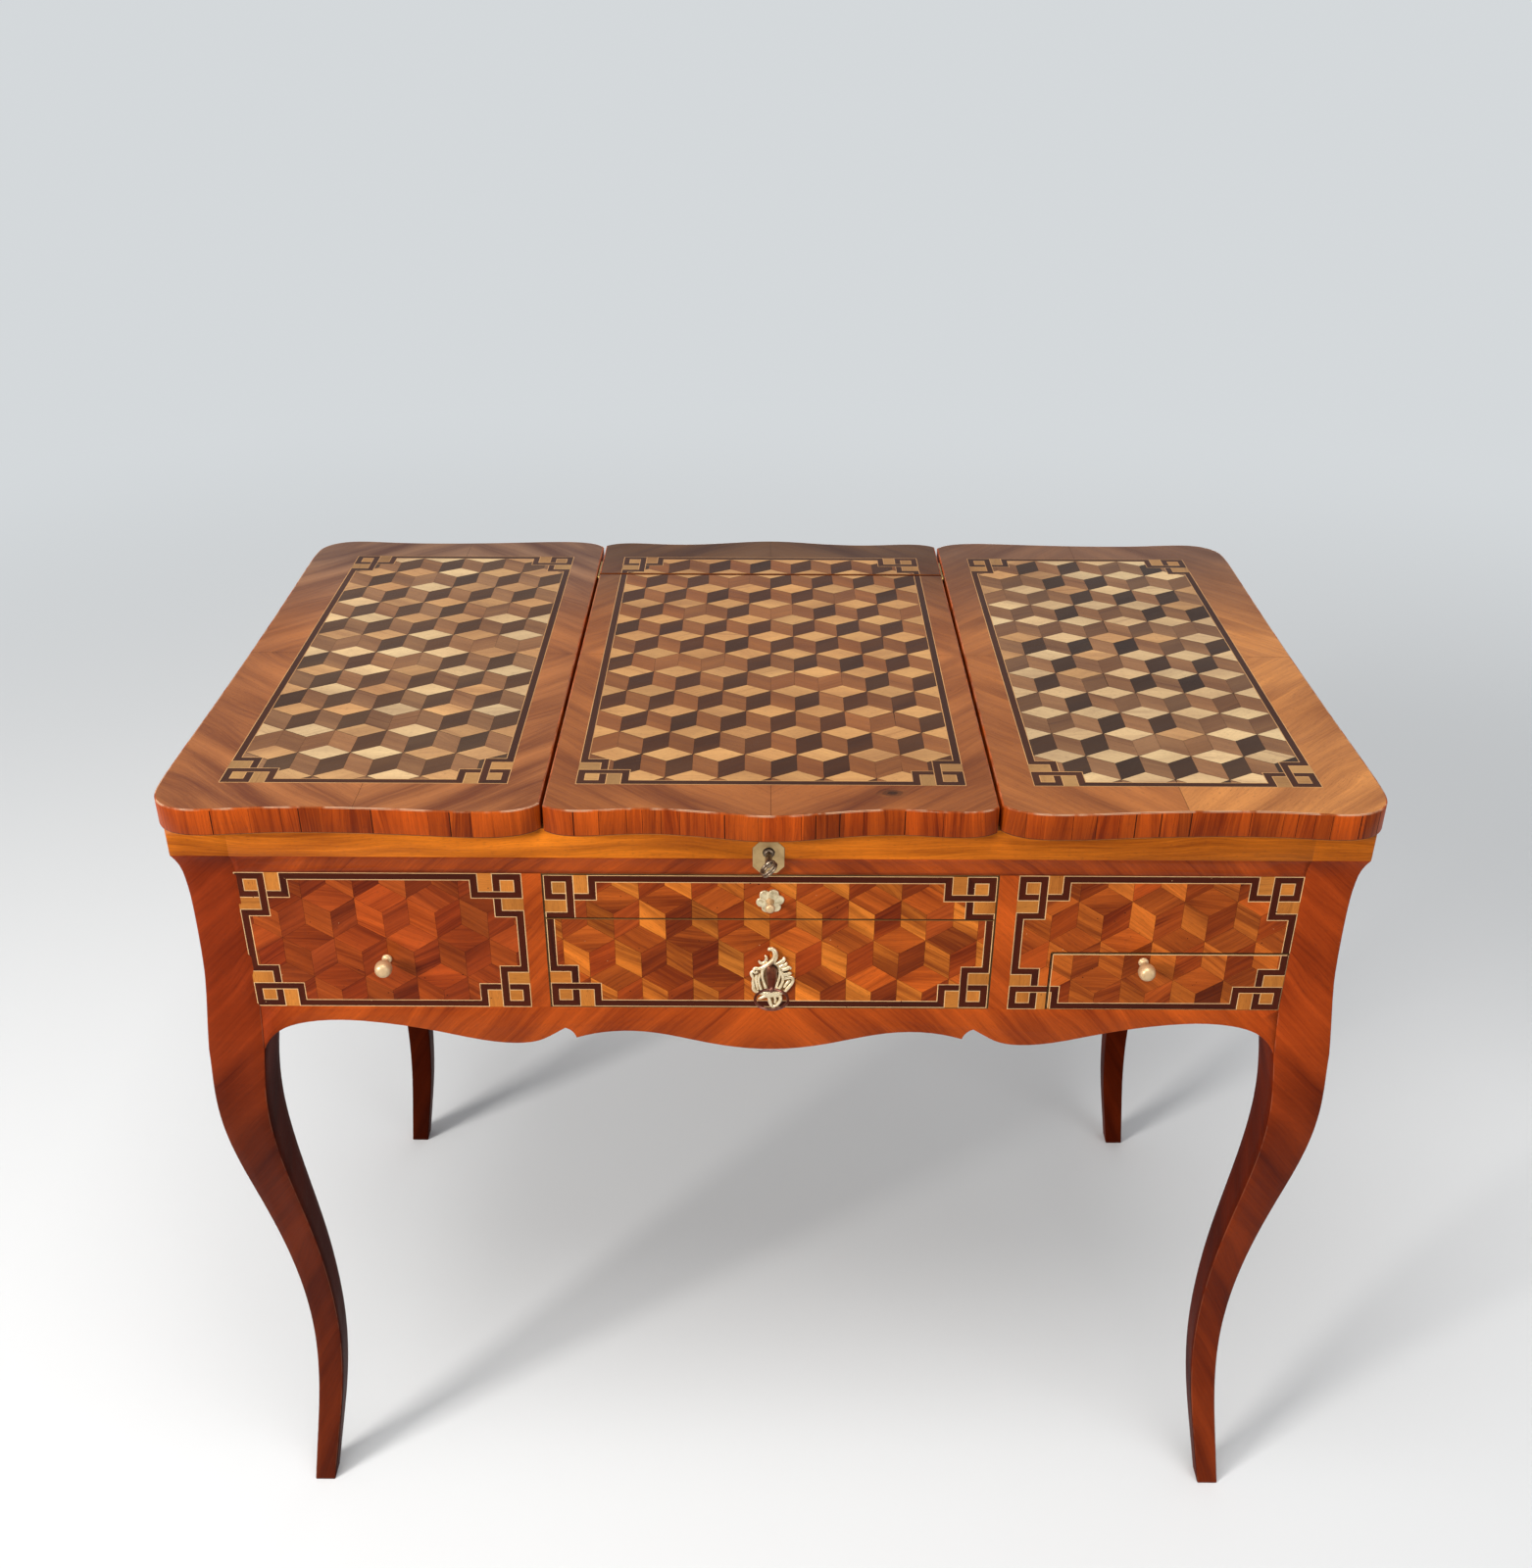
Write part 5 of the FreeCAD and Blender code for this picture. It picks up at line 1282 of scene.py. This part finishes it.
def build_leg(node, sign_x, sign_y):
    """Leg and post from sections of the frame's leg, its arrises rounded."""
    mesh = NODES[node].data
    mesh.calc_loop_triangles()
    vertices = np.array([v.co for v in mesh.vertices])
    triangles = vertices[np.array([t.vertices for t in mesh.loop_triangles])]
    levels = [0.4, 1.4] + [float(z) for z in np.arange(7.0, FRIEZE_TOP - 4, 8.0)]
    levels += [FRIEZE_TOP - 0.2, FRIEZE_TOP + 0.2]
    levels += [float(z) for z in np.arange(FRIEZE_TOP + 3, BAND_BOTTOM - 1, 3.0)]
    levels += [BAND_BOTTOM - 0.2, BAND_BOTTOM + 0.2, CASE_TOP - 12, CASE_TOP - 0.4]
    sheet = Sheet()
    for z in levels:
        corners = leg_corners(triangles, z * MM, sign_x, sign_y)
        for index, corner in enumerate(corners):
            before, after = corners[index - 1], corners[(index + 1) % 4]
            to_before, to_after = (before - corner).normalized(), (after - corner).normalized()
            arris = MM * (BUTTED_ARRIS if index in (1, 3) and z > FRIEZE_BOTTOM else LEG_ARRIS)
            soft = arris * (1 - math.sqrt(0.5))
            ring = [corner + to_before * arris, corner + (to_before + to_after) * soft,
                    corner + to_after * arris]
            ring += [corner.lerp(after, step / LEG_FACE_STEPS) for step in range(1, LEG_FACE_STEPS)]
            sheet.points += [Vector((p.x, p.y, z * MM)) for p in ring]
    count = len(sheet.points) // len(levels)
    turn = 1 if sign_x * sign_y > 0 else -1
    for level in range(len(levels) - 1):
        for index in range(count):
            after = (index + 1) % count
            corners = [level * count + index, level * count + after,
                       (level + 1) * count + after, (level + 1) * count + index][::turn]
            step = index % (LEG_FACE_STEPS + 2)
            side = (index // (LEG_FACE_STEPS + 2) - (step == 0)) % 4
            front, inner = side % 2 == 0, side in (1, 2)
            face = frame_face(front, (sign_y if front else sign_x) * (-1 if inner else 1) > 0)
            middle = (levels[level] + levels[level + 1]) / 2
            grain = []
            for spot in (sheet.points[i] for i in corners):
                x, y, z = spot / MM
                grain.append(frame_grain(x, y - CENTRE_Y, z, front, face, middle > BAND_BOTTOM))
            wood = leg_wood(middle, sign_x, inner)
            if step in (0, 1) and not inner:
                wood = wood._replace(wear=0.06)
            sheet.join(corners, grain, wood)
    start = len(sheet.points)
    sole = [Vector((p.x, p.y, 0.0)) for p in sheet.points[:count]]
    centre = sum(sole, Vector()) / count
    sheet.points += [centre + (p - centre) * SOLE_SHARE for p in sole]
    for index in range(count):
        after = (index + 1) % count
        corners = [start + index, start + after, after, index][::turn]
        sheet.join(corners, [(0, 0)] * 4, LEG_WOOD[sign_x])
    sheet.join(list(range(start, start + count))[::-turn], [(0, 0)] * count, GROUND_AND_SHADOW_WOOD, False)
    top = (len(levels) - 1) * count
    grain = [(p.x / MM, p.y / MM) for p in sheet.points[top:top + count]][::turn]
    sheet.join(list(range(top, top + count))[::turn], grain, RIM_WOOD, False)
    sheet.build(node + "_veneered", "case", (node,))


def build_frame():
    """Top rail, aprons, sides, back and the four legs."""
    for node in ("front_top_rail", "front_apron", "back_board"):
        dress(node)
    for node in ("side_board_left", "side_board_right"):
        dress(node, Vector((0, 1, 0)))
    for sign_y, end in ((-1, "front"), (1, "rear")):
        for sign_x, side in ((-1, "left"), (1, "right")):
            build_leg("leg_%s_%s" % (end, side), sign_x, sign_y)


# ---------------------------------------------------------------- metalwork

def lathe(profile, steps=48):
    """Mesh turned about Z from (radius, height) pairs in millimetres."""
    points, faces = [], []
    for radius, height in profile:
        for step in range(steps):
            turn = 2 * math.pi * step / steps
            points.append((radius * math.cos(turn) * MM, radius * math.sin(turn) * MM, height * MM))
    for level in range(len(profile) - 1):
        for step in range(steps):
            a, b = level * steps + step, level * steps + (step + 1) % steps
            faces.append((a, b, b + steps, a + steps))
    return points, faces


def add_mesh(work, points, faces, matrix):
    """Add a mesh to another, moved by a matrix."""
    vertices = [work.verts.new(matrix @ Vector(p)) for p in points]
    for face in faces:
        work.faces.new([vertices[i] for i in face])


def torus(major, minor, steps=64, sides=14):
    """Ring mesh about Z, in millimetres."""
    turns = [2 * math.pi * side / sides for side in range(sides + 1)]
    return lathe([(major + minor * math.cos(t), minor * math.sin(t)) for t in turns], steps)


def finish_mesh(work, name, body, material, replaces=(), angle=40.0):
    """Turn a worked mesh into a smooth piece."""
    bmesh.ops.remove_doubles(work, verts=work.verts, dist=1e-7)
    bmesh.ops.recalc_face_normals(work, faces=work.faces)
    for face in work.faces:
        face.smooth = True
    mesh = bpy.data.meshes.new(name)
    work.to_mesh(mesh)
    work.free()
    mesh.set_sharp_from_angle(angle=math.radians(angle))
    mesh.materials.append(material)
    place(bpy.data.objects.new(name, mesh), body, replaces)


def facing_front(x, y, z):
    """Matrix that turns a mesh about Z to stand out of the front at a place."""
    return Matrix.Translation(Vector((x, y, z)) * MM) @ Matrix.Rotation(math.radians(90), 4, "X")


# Outlines turned on the lathe, as (radius, height) in millimetres
PETAL = ((0.01, 1.05), (1.4, 0.98), (2.5, 1.12), (3.2, 1.42), (3.65, 1.45), (3.95, 1.1),
         (4.0, 0.1))
KNOB = ((0.01, 0.0), (3.6, 0.02), (3.8, 0.5), (3.75, 1.3), (3.1, 1.9), (2.0, 2.3), (1.7, 3.2),
        (1.6, 5.2), (1.75, 6.8), (2.6, 7.7), (4.3, 8.5), (5.6, 9.9), (6.25, 11.6), (6.38, 13.3),
        (6.2, 15.1), (5.6, 17.0), (4.4, 18.3), (2.9, 19.05), (1.4, 19.35), (0.01, 19.45))
ROSETTE_STEM = ((0.01, 0.4), (3.2, 0.6), (3.0, 2.0), (2.2, 3.0), (1.6, 4.4), (1.5, 6.2),
                (1.8, 7.6), (2.5, 8.8), (3.3, 9.7), (3.6, 10.5), (3.5, 11.3), (2.7, 12.1),
                (1.4, 12.6))
# Petals: number, turn of the first, distance from the middle and lean
PETALS, PETAL_TURN, PETAL_OUT, PETAL_LEAN = 6, 8.0, 6.3, 7.0


def middle_of(node):
    """Place of a round piece on the front, in X and Z."""
    lowest, highest = low(node), high(node)
    return (lowest.x + highest.x) / 2, (lowest.z + highest.z) / 2


def build_rosette():
    """Rosette of the slide: six dished petals, overlapping, round a waisted knob."""
    x, z = middle_of("slide_knob")
    work = bmesh.new()
    for index in range(PETALS):
        turn = math.radians(360 / PETALS * index + PETAL_TURN)
        here = facing_front(x, FACE_Y - 0.35 * (index % 2), z) @ Matrix.Rotation(turn, 4, "Z")
        here = here @ Matrix.Translation(Vector((PETAL_OUT, 0, 0)) * MM)
        here = here @ Matrix.Rotation(math.radians(PETAL_LEAN), 4, "Y")
        add_mesh(work, *lathe(PETAL, 40), here)
    finish_mesh(work, "slide_petals", "writing_slide", PETAL_BRASS, (), 60)
    work = bmesh.new()
    reach = FACE_Y - low("slide_knob").y
    scale = (reach - 0.1) / (ROSETTE_STEM[-1][1] + 0.1)
    profile = [(radius, height * scale) for radius, height in ROSETTE_STEM]
    add_mesh(work, *lathe(profile + [(0.01, reach - 0.05)]), facing_front(x, FACE_Y, z))
    finish_mesh(work, "slide_rosette", "writing_slide", KNOB_BRASS,
                ("slide_knob",), 60)


def build_knobs():
    """Turned knobs of the small drawer and of the false one beside it."""
    for node, body in (("false_drawer_knob", "case"), ("small_drawer_knob", "small_drawer")):
        x, z = middle_of(node)
        work = bmesh.new()
        add_mesh(work, *lathe(KNOB), facing_front(x, FACE_Y, z))
        finish_mesh(work, node + "_turned", body, KNOB_BRASS, (node,), 60)


# Keys: place on the front, width and wire of the ring, its tilt in degrees and the lift of each of
# its turns in wires, and the shank as (radius, height, share of the way to the ring)
Key = namedtuple("Key", "place outer wire tilt lifts material shank")
KEYS = {
    "lid_key": Key((-1.3, 690.0), 14.0, 0.9, -40, (-1.15, 1.15), RING_STEEL,
                   ((2.5, 0.3, 0), (3.5, 0.4, 0), (3.7, 0.9, 0), (3.5, 1.4, 0), (2.4, 1.7, 0),
                    (2.1, 2.2, 0), (2.5, 2.9, 0), (2.6, -0.7, 1), (2.2, 0.5, 1), (1.2, 1.1, 1),
                    (0.01, 1.2, 1))),
    "drawer_key": Key((1.3, 585.0), 26.0, 1.05, 0, (0,), KEY_BRONZE,
                      ((2.9, 0.3, 0), (4.3, 0.9, 0), (4.4, 2.4, 0), (4.2, 4.6, 0),
                       (3.7, 0, 0.45), (3.0, 0, 0.72), (2.4, -0.9, 1), (1.7, 0.6, 1),
                       (0.8, 1.2, 1), (0.01, 1.3, 1))),
}


def build_key(node):
    """Key of a lock: a turned shank, with one or two turns of wire for a ring."""
    key = KEYS[node]
    (x, z), face = key.place, low(node + "_plate").y
    ring_y = low(node).y + key.outer / 2
    eye, inside = face - (ring_y + key.outer / 2 - 2 * key.wire), face - high(node).y
    ring_at = Matrix.Translation(Vector((x, ring_y, z)) * MM)
    ring_at = ring_at @ Matrix.Rotation(math.radians(key.tilt), 4, "Y")
    work = bmesh.new()
    for lift in key.lifts:
        shift = Matrix.Translation(Vector((0, 0, lift * key.wire)) * MM)
        add_mesh(work, *torus(key.outer / 2 - key.wire, key.wire), ring_at @ shift)
    profile = [(0.01, inside), (key.shank[0][0], inside)]
    profile += [(radius, height + share * eye) for radius, height, share in key.shank]
    add_mesh(work, *lathe(profile, 32), facing_front(x, face, z))
    finish_mesh(work, node + "_detailed", node, key.material, (node,), 50)


def build_keyhole_rim():
    """Iron rim round the keyhole of the lid."""
    x, z = KEYS["lid_key"].place
    work = bmesh.new()
    add_mesh(work, *torus(3.6, 0.75, 40, 12), facing_front(x, low("lid_key_plate").y, z))
    finish_mesh(work, "lid_keyhole_rim", "case", DARK_IRON, (), 50)


# Cartouche: share added to the width of its strokes, steps along and sides round each stroke
CARTOUCHE_WEIGHT = 1.1
STROKE_STEPS, STROKE_SIDES = 6, 14


def stroke(work, spine):
    """Rounded stroke of the cartouche, through (x, z, radius) points on the drawer front."""
    fine = spline(spine, lambda start, end: STROKE_STEPS) + [Vector(spine[-1])]
    rings = []
    for index, spot in enumerate(fine):
        ahead = fine[min(index + 1, len(fine) - 1)] - fine[max(index - 1, 0)]
        side = Vector((-ahead.y, ahead.x)).normalized()
        radius = max(0.3, spot.z * CARTOUCHE_WEIGHT)
        rise = 0.8 + 0.55 * radius
        ring = []
        for step in range(STROKE_SIDES):
            turn = 2 * math.pi * step / STROKE_SIDES
            out = rise + 0.85 * radius * math.sin(turn)
            ring.append(work.verts.new(Vector((
                spot.x + side.x * radius * math.cos(turn), FACE_Y - max(0.1, out),
                spot.y + side.y * radius * math.cos(turn))) * MM))
        rings.append(ring)
    for first, second in zip(rings, rings[1:]):
        for side in range(STROKE_SIDES):
            after = (side + 1) % STROKE_SIDES
            work.faces.new((first[side], first[after], second[after], second[side]))
    work.faces.new(rings[0][::-1])
    work.faces.new(rings[-1])


# Strokes of the cartouche as (x, z, radius) along each one
CARTOUCHE = (
    # flame at the top, running down into the scroll on the left
    ((-0.4, 601.9, 0.9), (-0.5, 603.2, 1.3), (1.0, 603.5, 1.5), (2.9, 602.6, 1.7),
     (4.0, 600.0, 1.9), (4.0, 596.8, 2.0), (2.8, 593.8, 2.0), (0.4, 591.1, 1.9),
     (-2.7, 588.5, 1.7), (-5.8, 586.5, 1.5), (-8.6, 585.6, 1.3), (-10.8, 585.8, 1.2),
     (-12.2, 584.0, 1.1), (-11.3, 582.0, 1.0), (-9.6, 582.2, 0.9), (-9.8, 583.8, 0.8)),
    # hook beside it
    ((-8.2, 592.6, 0.7), (-7.4, 591.2, 1.0), (-5.7, 590.4, 1.2), (-3.7, 591.6, 1.2),
     (-2.6, 594.2, 1.1), (-2.8, 596.4, 0.8), (-4.0, 596.8, 0.5)),
    # outer edge on the left, with its lobes
    ((-12.4, 583.4, 1.0), (-13.8, 581.4, 1.2), (-13.0, 578.6, 1.1), (-12.2, 576.2, 1.0),
     (-12.6, 573.0, 1.1), (-12.3, 569.6, 1.2), (-11.8, 566.6, 1.4), (-10.2, 564.4, 1.3)),
    # flutes between that edge and the keyhole
    ((-9.8, 580.0, 1.0), (-10.2, 575.6, 1.0), (-9.8, 570.8, 1.0), (-8.8, 566.2, 1.0)),
    ((-7.2, 581.0, 1.0), (-8.2, 576.2, 0.9), (-7.8, 571.0, 0.9), (-6.4, 566.4, 1.0)),
    ((-3.4, 587.2, 1.1), (-5.4, 583.6, 1.2), (-5.6, 578.4, 1.0), (-4.4, 573.0, 1.0),
     (-3.0, 568.6, 1.1), (-2.0, 565.4, 1.2)),
    # rim on the right of the keyhole
    ((2.2, 590.6, 1.0), (5.0, 589.4, 1.3), (7.2, 586.2, 1.2), (7.6, 581.4, 1.0), (7.0, 576.4, 0.9),
     (5.6, 571.2, 0.9), (4.6, 567.4, 1.1)),
    ((8.2, 583.6, 1.1), (9.8, 578.4, 1.1), (9.6, 573.2, 1.0), (7.6, 568.2, 1.1), (5.6, 565.8, 1.0)),
    # shell lobes
    ((5.2, 590.0, 1.3), (7.4, 591.2, 1.7), (9.2, 592.6, 1.8), (10.5, 594.4, 1.3),
     (10.3, 596.0, 0.6)),
    ((7.4, 587.4, 1.3), (9.8, 588.6, 1.6), (11.8, 589.8, 1.4), (12.6, 591.2, 0.7)),
    ((8.8, 584.6, 1.3), (11.6, 585.6, 1.6), (14.0, 586.8, 1.5), (15.4, 586.0, 1.0),
     (15.2, 584.6, 0.6)),
    ((9.8, 580.6, 1.2), (12.6, 580.6, 1.5), (15.0, 581.4, 1.4), (16.0, 580.4, 0.8)),
    ((10.4, 576.6, 1.2), (13.6, 577.6, 1.3), (16.4, 577.6, 1.3), (17.4, 575.4, 1.2),
     (16.6, 572.4, 1.2), (14.8, 569.6, 1.3), (13.0, 567.0, 1.3), (12.0, 564.9, 1.0)),
    ((11.0, 568.4, 0.9), (12.4, 571.6, 1.1), (14.6, 574.4, 1.0), (15.4, 575.2, 0.6)),
    # foot
    ((-10.0, 563.9, 1.2), (-5.0, 563.0, 1.5), (1.2, 562.7, 1.7), (7.2, 563.2, 1.5),
     (11.8, 564.8, 1.1)),
    ((-8.4, 557.4, 0.6), (-6.2, 558.8, 1.1), (-3.0, 560.4, 1.3), (1.0, 561.0, 1.4),
     (5.0, 561.0, 1.3), (8.8, 560.0, 1.1)),
    ((-0.8, 560.4, 1.2), (0.0, 556.4, 1.3), (1.0, 552.6, 1.3), (2.8, 550.3, 1.1),
     (4.2, 551.6, 0.9)),
    ((8.4, 560.0, 1.2), (8.0, 556.4, 1.3), (6.2, 553.2, 1.2), (4.2, 551.0, 0.9)),
    ((3.6, 560.2, 0.9), (4.4, 557.0, 1.0), (4.0, 553.8, 0.8)),
)
CARTOUCHE_GROUND = ((-11.8, 581.6), (-12.0, 571.0), (-10.4, 565.0), (-6.0, 562.6), (-1.4, 560.4),
                    (0.6, 554.0), (3.2, 551.0), (7.0, 555.4), (8.2, 561.0), (12.2, 565.4),
                    (14.6, 571.0), (16.2, 576.6), (13.6, 580.4), (12.8, 585.0), (9.4, 590.6),
                    (5.4, 590.8), (3.6, 595.4), (0.8, 591.6), (-4.6, 588.0), (-10.6, 585.2))


# Keyhole of the drawer: radius of its head, half width of its slot and foot of the slot
KEYHOLE = (4.0, 2.4, 570.0)


def keyhole_outline(x, z, radius, half_width, bottom):
    """Keyhole in the plane of the front: a round head over a straight slot."""
    half_gap, steps = math.asin(half_width / radius), 20
    turns = [half_gap - math.pi / 2 + 2 * (math.pi - half_gap) * step / steps
             for step in range(steps + 1)]
    head = [(x + radius * math.cos(t), z + radius * math.sin(t)) for t in turns]
    return head + [(x - half_width, bottom), (x + half_width, bottom)]


def build_cartouche():
    """Rocaille key plate of the drawer: cast strokes over a thin pierced ground."""
    work = bmesh.new()
    for spine in CARTOUCHE:
        stroke(work, spine)
    finish_mesh(work, "drawer_cartouche", "centre_drawer", BRASS,
                ("drawer_key_plate",), 70)
    hole = keyhole_outline(*KEYS["drawer_key"].place, *KEYHOLE)
    loops = [[Vector((x, z, 0)) for x, z in loop] for loop in (CARTOUCHE_GROUND, hole)]
    flat = loops[0] + loops[1]
    work = bmesh.new()
    vertices = [work.verts.new(Vector((v.x, FACE_Y - 1.1, v.y)) * MM) for v in flat]
    for triangle in tessellate_polygon(loops):
        work.faces.new([vertices[i] for i in triangle])
    rims = ((0, len(loops[0])), (len(loops[0]), len(flat)))
    back = [work.verts.new(Vector((v.x, FACE_Y - 0.12, v.y)) * MM) for v in flat]
    for start, end in rims:
        for index in range(start, end):
            after = index + 1 if index + 1 < end else start
            work.faces.new((vertices[index], vertices[after], back[after], back[index]))
    finish_mesh(work, "cartouche_ground", "centre_drawer", OLD_BRASS, (), 30)
    # Painted shade: a near-black sheet fills the keyhole, where the hole would be dark
    sheet = Sheet()
    sheet.lay(front_plane, Item(hole, 0.11, SEAM_AND_SHADOW_WOOD, 0.0, (0, 0)))
    sheet.build("keyhole_shade_of_drawer", "centre_drawer")


def finish_nodes():
    """Materials of the nodes that keep their shape."""
    chosen = {
        OAK_X: ("case_bottom", "centre_well_floor", "slide_divider", "slide_board",
                "centre_drawer_back", "small_drawer_back", "slide_front", "centre_drawer_front",
                "small_drawer_front", "left_front_panel", "right_front_panel",
                "right_drawer_stile"),
        OAK_Y: ("partition_left", "partition_right", "lid_bearer_left", "lid_bearer_right",
                "drawer_guides", "right_well_floor", "centre_drawer_side_left",
                "centre_drawer_side_right", "small_drawer_side_left", "small_drawer_side_right",
                "centre_drawer_bottom", "small_drawer_bottom"),
        WALNUT_X: ("mirror_frame",),
        PLATE_BRASS: ("lid_key_plate", "lid_strike_plate"),
        HINGE_BRASS: ("strip_pivot_leaves", "lid_pivot_leaves", "left_hinge_case_leaves",
                      "right_hinge_case_leaves", "left_hinge_flap_leaves",
                      "right_hinge_flap_leaves", "left_hinge_pins", "right_hinge_pins"),
        LOCK_STEEL: ("lid_lock_case", "drawer_lock_case", "lid_bolt", "drawer_bolt"),
        leather_material(): ("slide_leather",),
        mirror_material(): ("mirror_glass",),
    }
    materials = {name: material for material, names in chosen.items() for name in names}
    for name, node in NODES.items():
        node.data.materials.clear()
        node.data.materials.append(materials.get(name, EDGE_X))
    rounded = NODES["lid_key_plate"].modifiers.new("eased", "BEVEL")
    rounded.width, rounded.segments = 0.5 * MM, 3
    rounded.limit_method, rounded.angle_limit = "ANGLE", math.radians(40)


# ---------------------------------------------------------------- stage, light and camera

BACKGROUND = (0.66, 0.69, 0.71)
DAYLIGHT, WORLD_STRENGTH = (0.94, 0.97, 1.0), 0.31
FLOOR_SHOWN, FLOOR_LIT = (0.84, 0.85, 0.86), (0.34, 0.33, 0.32)
FLOOR_REACH, FLOOR_Z = 30.0, -0.0002
# The floor turns into the background between these distances, in metres
FADE_START, FADE_END = 0.9, 3.4
SHOWN_RAYS = ("Is Camera Ray", "Is Glossy Ray", "Is Transmission Ray")


def build_stage():
    """Plain pale floor that runs out of sight, and the same background all round."""
    mesh = bpy.data.meshes.new("floor")
    corners = [(x * FLOOR_REACH, y * FLOOR_REACH, FLOOR_Z)
               for x, y in ((-1, -1), (1, -1), (1, 1), (-1, 1))]
    mesh.from_pydata(corners, [], [(0, 1, 2, 3)])
    floor = bpy.data.objects.new("floor", mesh)
    bpy.context.scene.collection.objects.link(floor)
    tree = Paint("pale_floor")
    shown = tree.seen(*SHOWN_RAYS)
    colour = tree.blend(shown, (*FLOOR_LIT, 1), (*FLOOR_SHOWN, 1))
    lit = tree.add("ShaderNodeBsdfPrincipled", {"Base Color": colour, "Roughness": 0.9,
                                                "Specular IOR Level": 0.1}).outputs[0]
    plain = tree.add("ShaderNodeEmission", {0: (*BACKGROUND, 1), 1: 1.0}).outputs[0]
    spot = tree.add("ShaderNodeTexCoord").outputs["Object"]
    distance = tree.add("ShaderNodeVectorMath", {0: spot}, operation="LENGTH").outputs["Value"]
    far = tree.math("MULTIPLY", tree.ramp(distance, FADE_START, FADE_END), shown)
    tree.end_with(tree.add("ShaderNodeMixShader", {0: far, 1: lit, 2: plain}))
    mesh.materials.append(tree.material)
    world = bpy.data.worlds.new("studio")
    world.use_nodes = True
    tree = Tree(world.node_tree, "ShaderNodeOutputWorld")
    lights = [tree.add("ShaderNodeBackground", {0: (*colour, 1), 1: strength}).outputs[0]
              for colour, strength in ((DAYLIGHT, WORLD_STRENGTH), (BACKGROUND, 1.0))]
    tree.end_with(tree.add("ShaderNodeMixShader",
                           {0: tree.seen(*SHOWN_RAYS), 1: lights[0], 2: lights[1]}))
    bpy.context.scene.world = world


# Lamps: name, place, aim, width and height in metres, power in watts, colour
LAMPS = (
    ("key", (-2.8, -2.3, 1.95), (0, 0, 0.55), 0.9, 0.9, 116, (1.0, 0.97, 0.93)),
    ("top", (-0.2, -1.0, 3.1), (0, 0, 0.6), 2.0, 1.4, 52, (1.0, 0.99, 0.97)),
    ("fill", (2.3, -2.6, 1.5), (0, 0, 0.5), 1.8, 1.6, 17, (0.98, 0.99, 1.0)),
    ("rear", (0.8, 4.8, 0.40), (0, 0, 0.45), 2.6, 0.5, 48, (1.0, 0.98, 0.96)),
)


def area_light(name, location, target, width, height, power, colour):
    """Soft lamp aimed at a point."""
    data = bpy.data.lights.new(name, "AREA")
    data.shape = "RECTANGLE"
    data.size, data.size_y = width, height
    data.energy = power
    data.color = colour
    lamp = bpy.data.objects.new(name, data)
    bpy.context.scene.collection.objects.link(lamp)
    lamp.location = location
    direction = Vector(target) - Vector(location)
    lamp.rotation_euler = direction.to_track_quat("-Z", "Y").to_euler()


# Camera: place in metres from the middle of the case, turns in radians, and focal length
CAMERA_PLACE = Vector((-0.0039, -1.2100, 1.28355))
CAMERA_YAW, CAMERA_PITCH, CAMERA_ROLL = -0.00046, math.radians(29.232), 0.00486
FOCAL_PIXELS, PHOTO_WIDTH, SENSOR_WIDTH = 1623.157, 1563.0, 36.0


def build_camera():
    """Camera of the photograph, from a fit to the table's corners."""
    turn = Matrix.Rotation(-CAMERA_YAW, 3, "Z")
    base = Matrix(((1, 0, 0), (0, 0, -1), (0, 1, 0)))
    axes = (Matrix.Rotation(CAMERA_ROLL, 3, "Z") @ Matrix.Rotation(CAMERA_PITCH, 3, "X")
            @ base @ turn)
    data = bpy.data.cameras.new("camera")
    data.sensor_fit = "HORIZONTAL"
    data.sensor_width = SENSOR_WIDTH
    data.lens = FOCAL_PIXELS * SENSOR_WIDTH / PHOTO_WIDTH
    data.clip_end = 200.0
    camera = bpy.data.objects.new("camera", data)
    bpy.context.scene.collection.objects.link(camera)
    matrix = Matrix((axes[0], -axes[1], -axes[2])).transposed().to_4x4()
    matrix.translation = CAMERA_PLACE + Vector((0, CENTRE_Y * MM, 0))
    camera.matrix_world = matrix
    bpy.context.scene.camera = camera


build_top()
build_front()
build_sides()
build_frame()
finish_nodes()
build_rosette()
build_knobs()
build_key("lid_key")
build_keyhole_rim()
build_key("drawer_key")
build_cartouche()
build_stage()
for lamp in LAMPS:
    area_light(*lamp)
build_camera()
bpy.context.scene.view_settings.view_transform = "Standard"
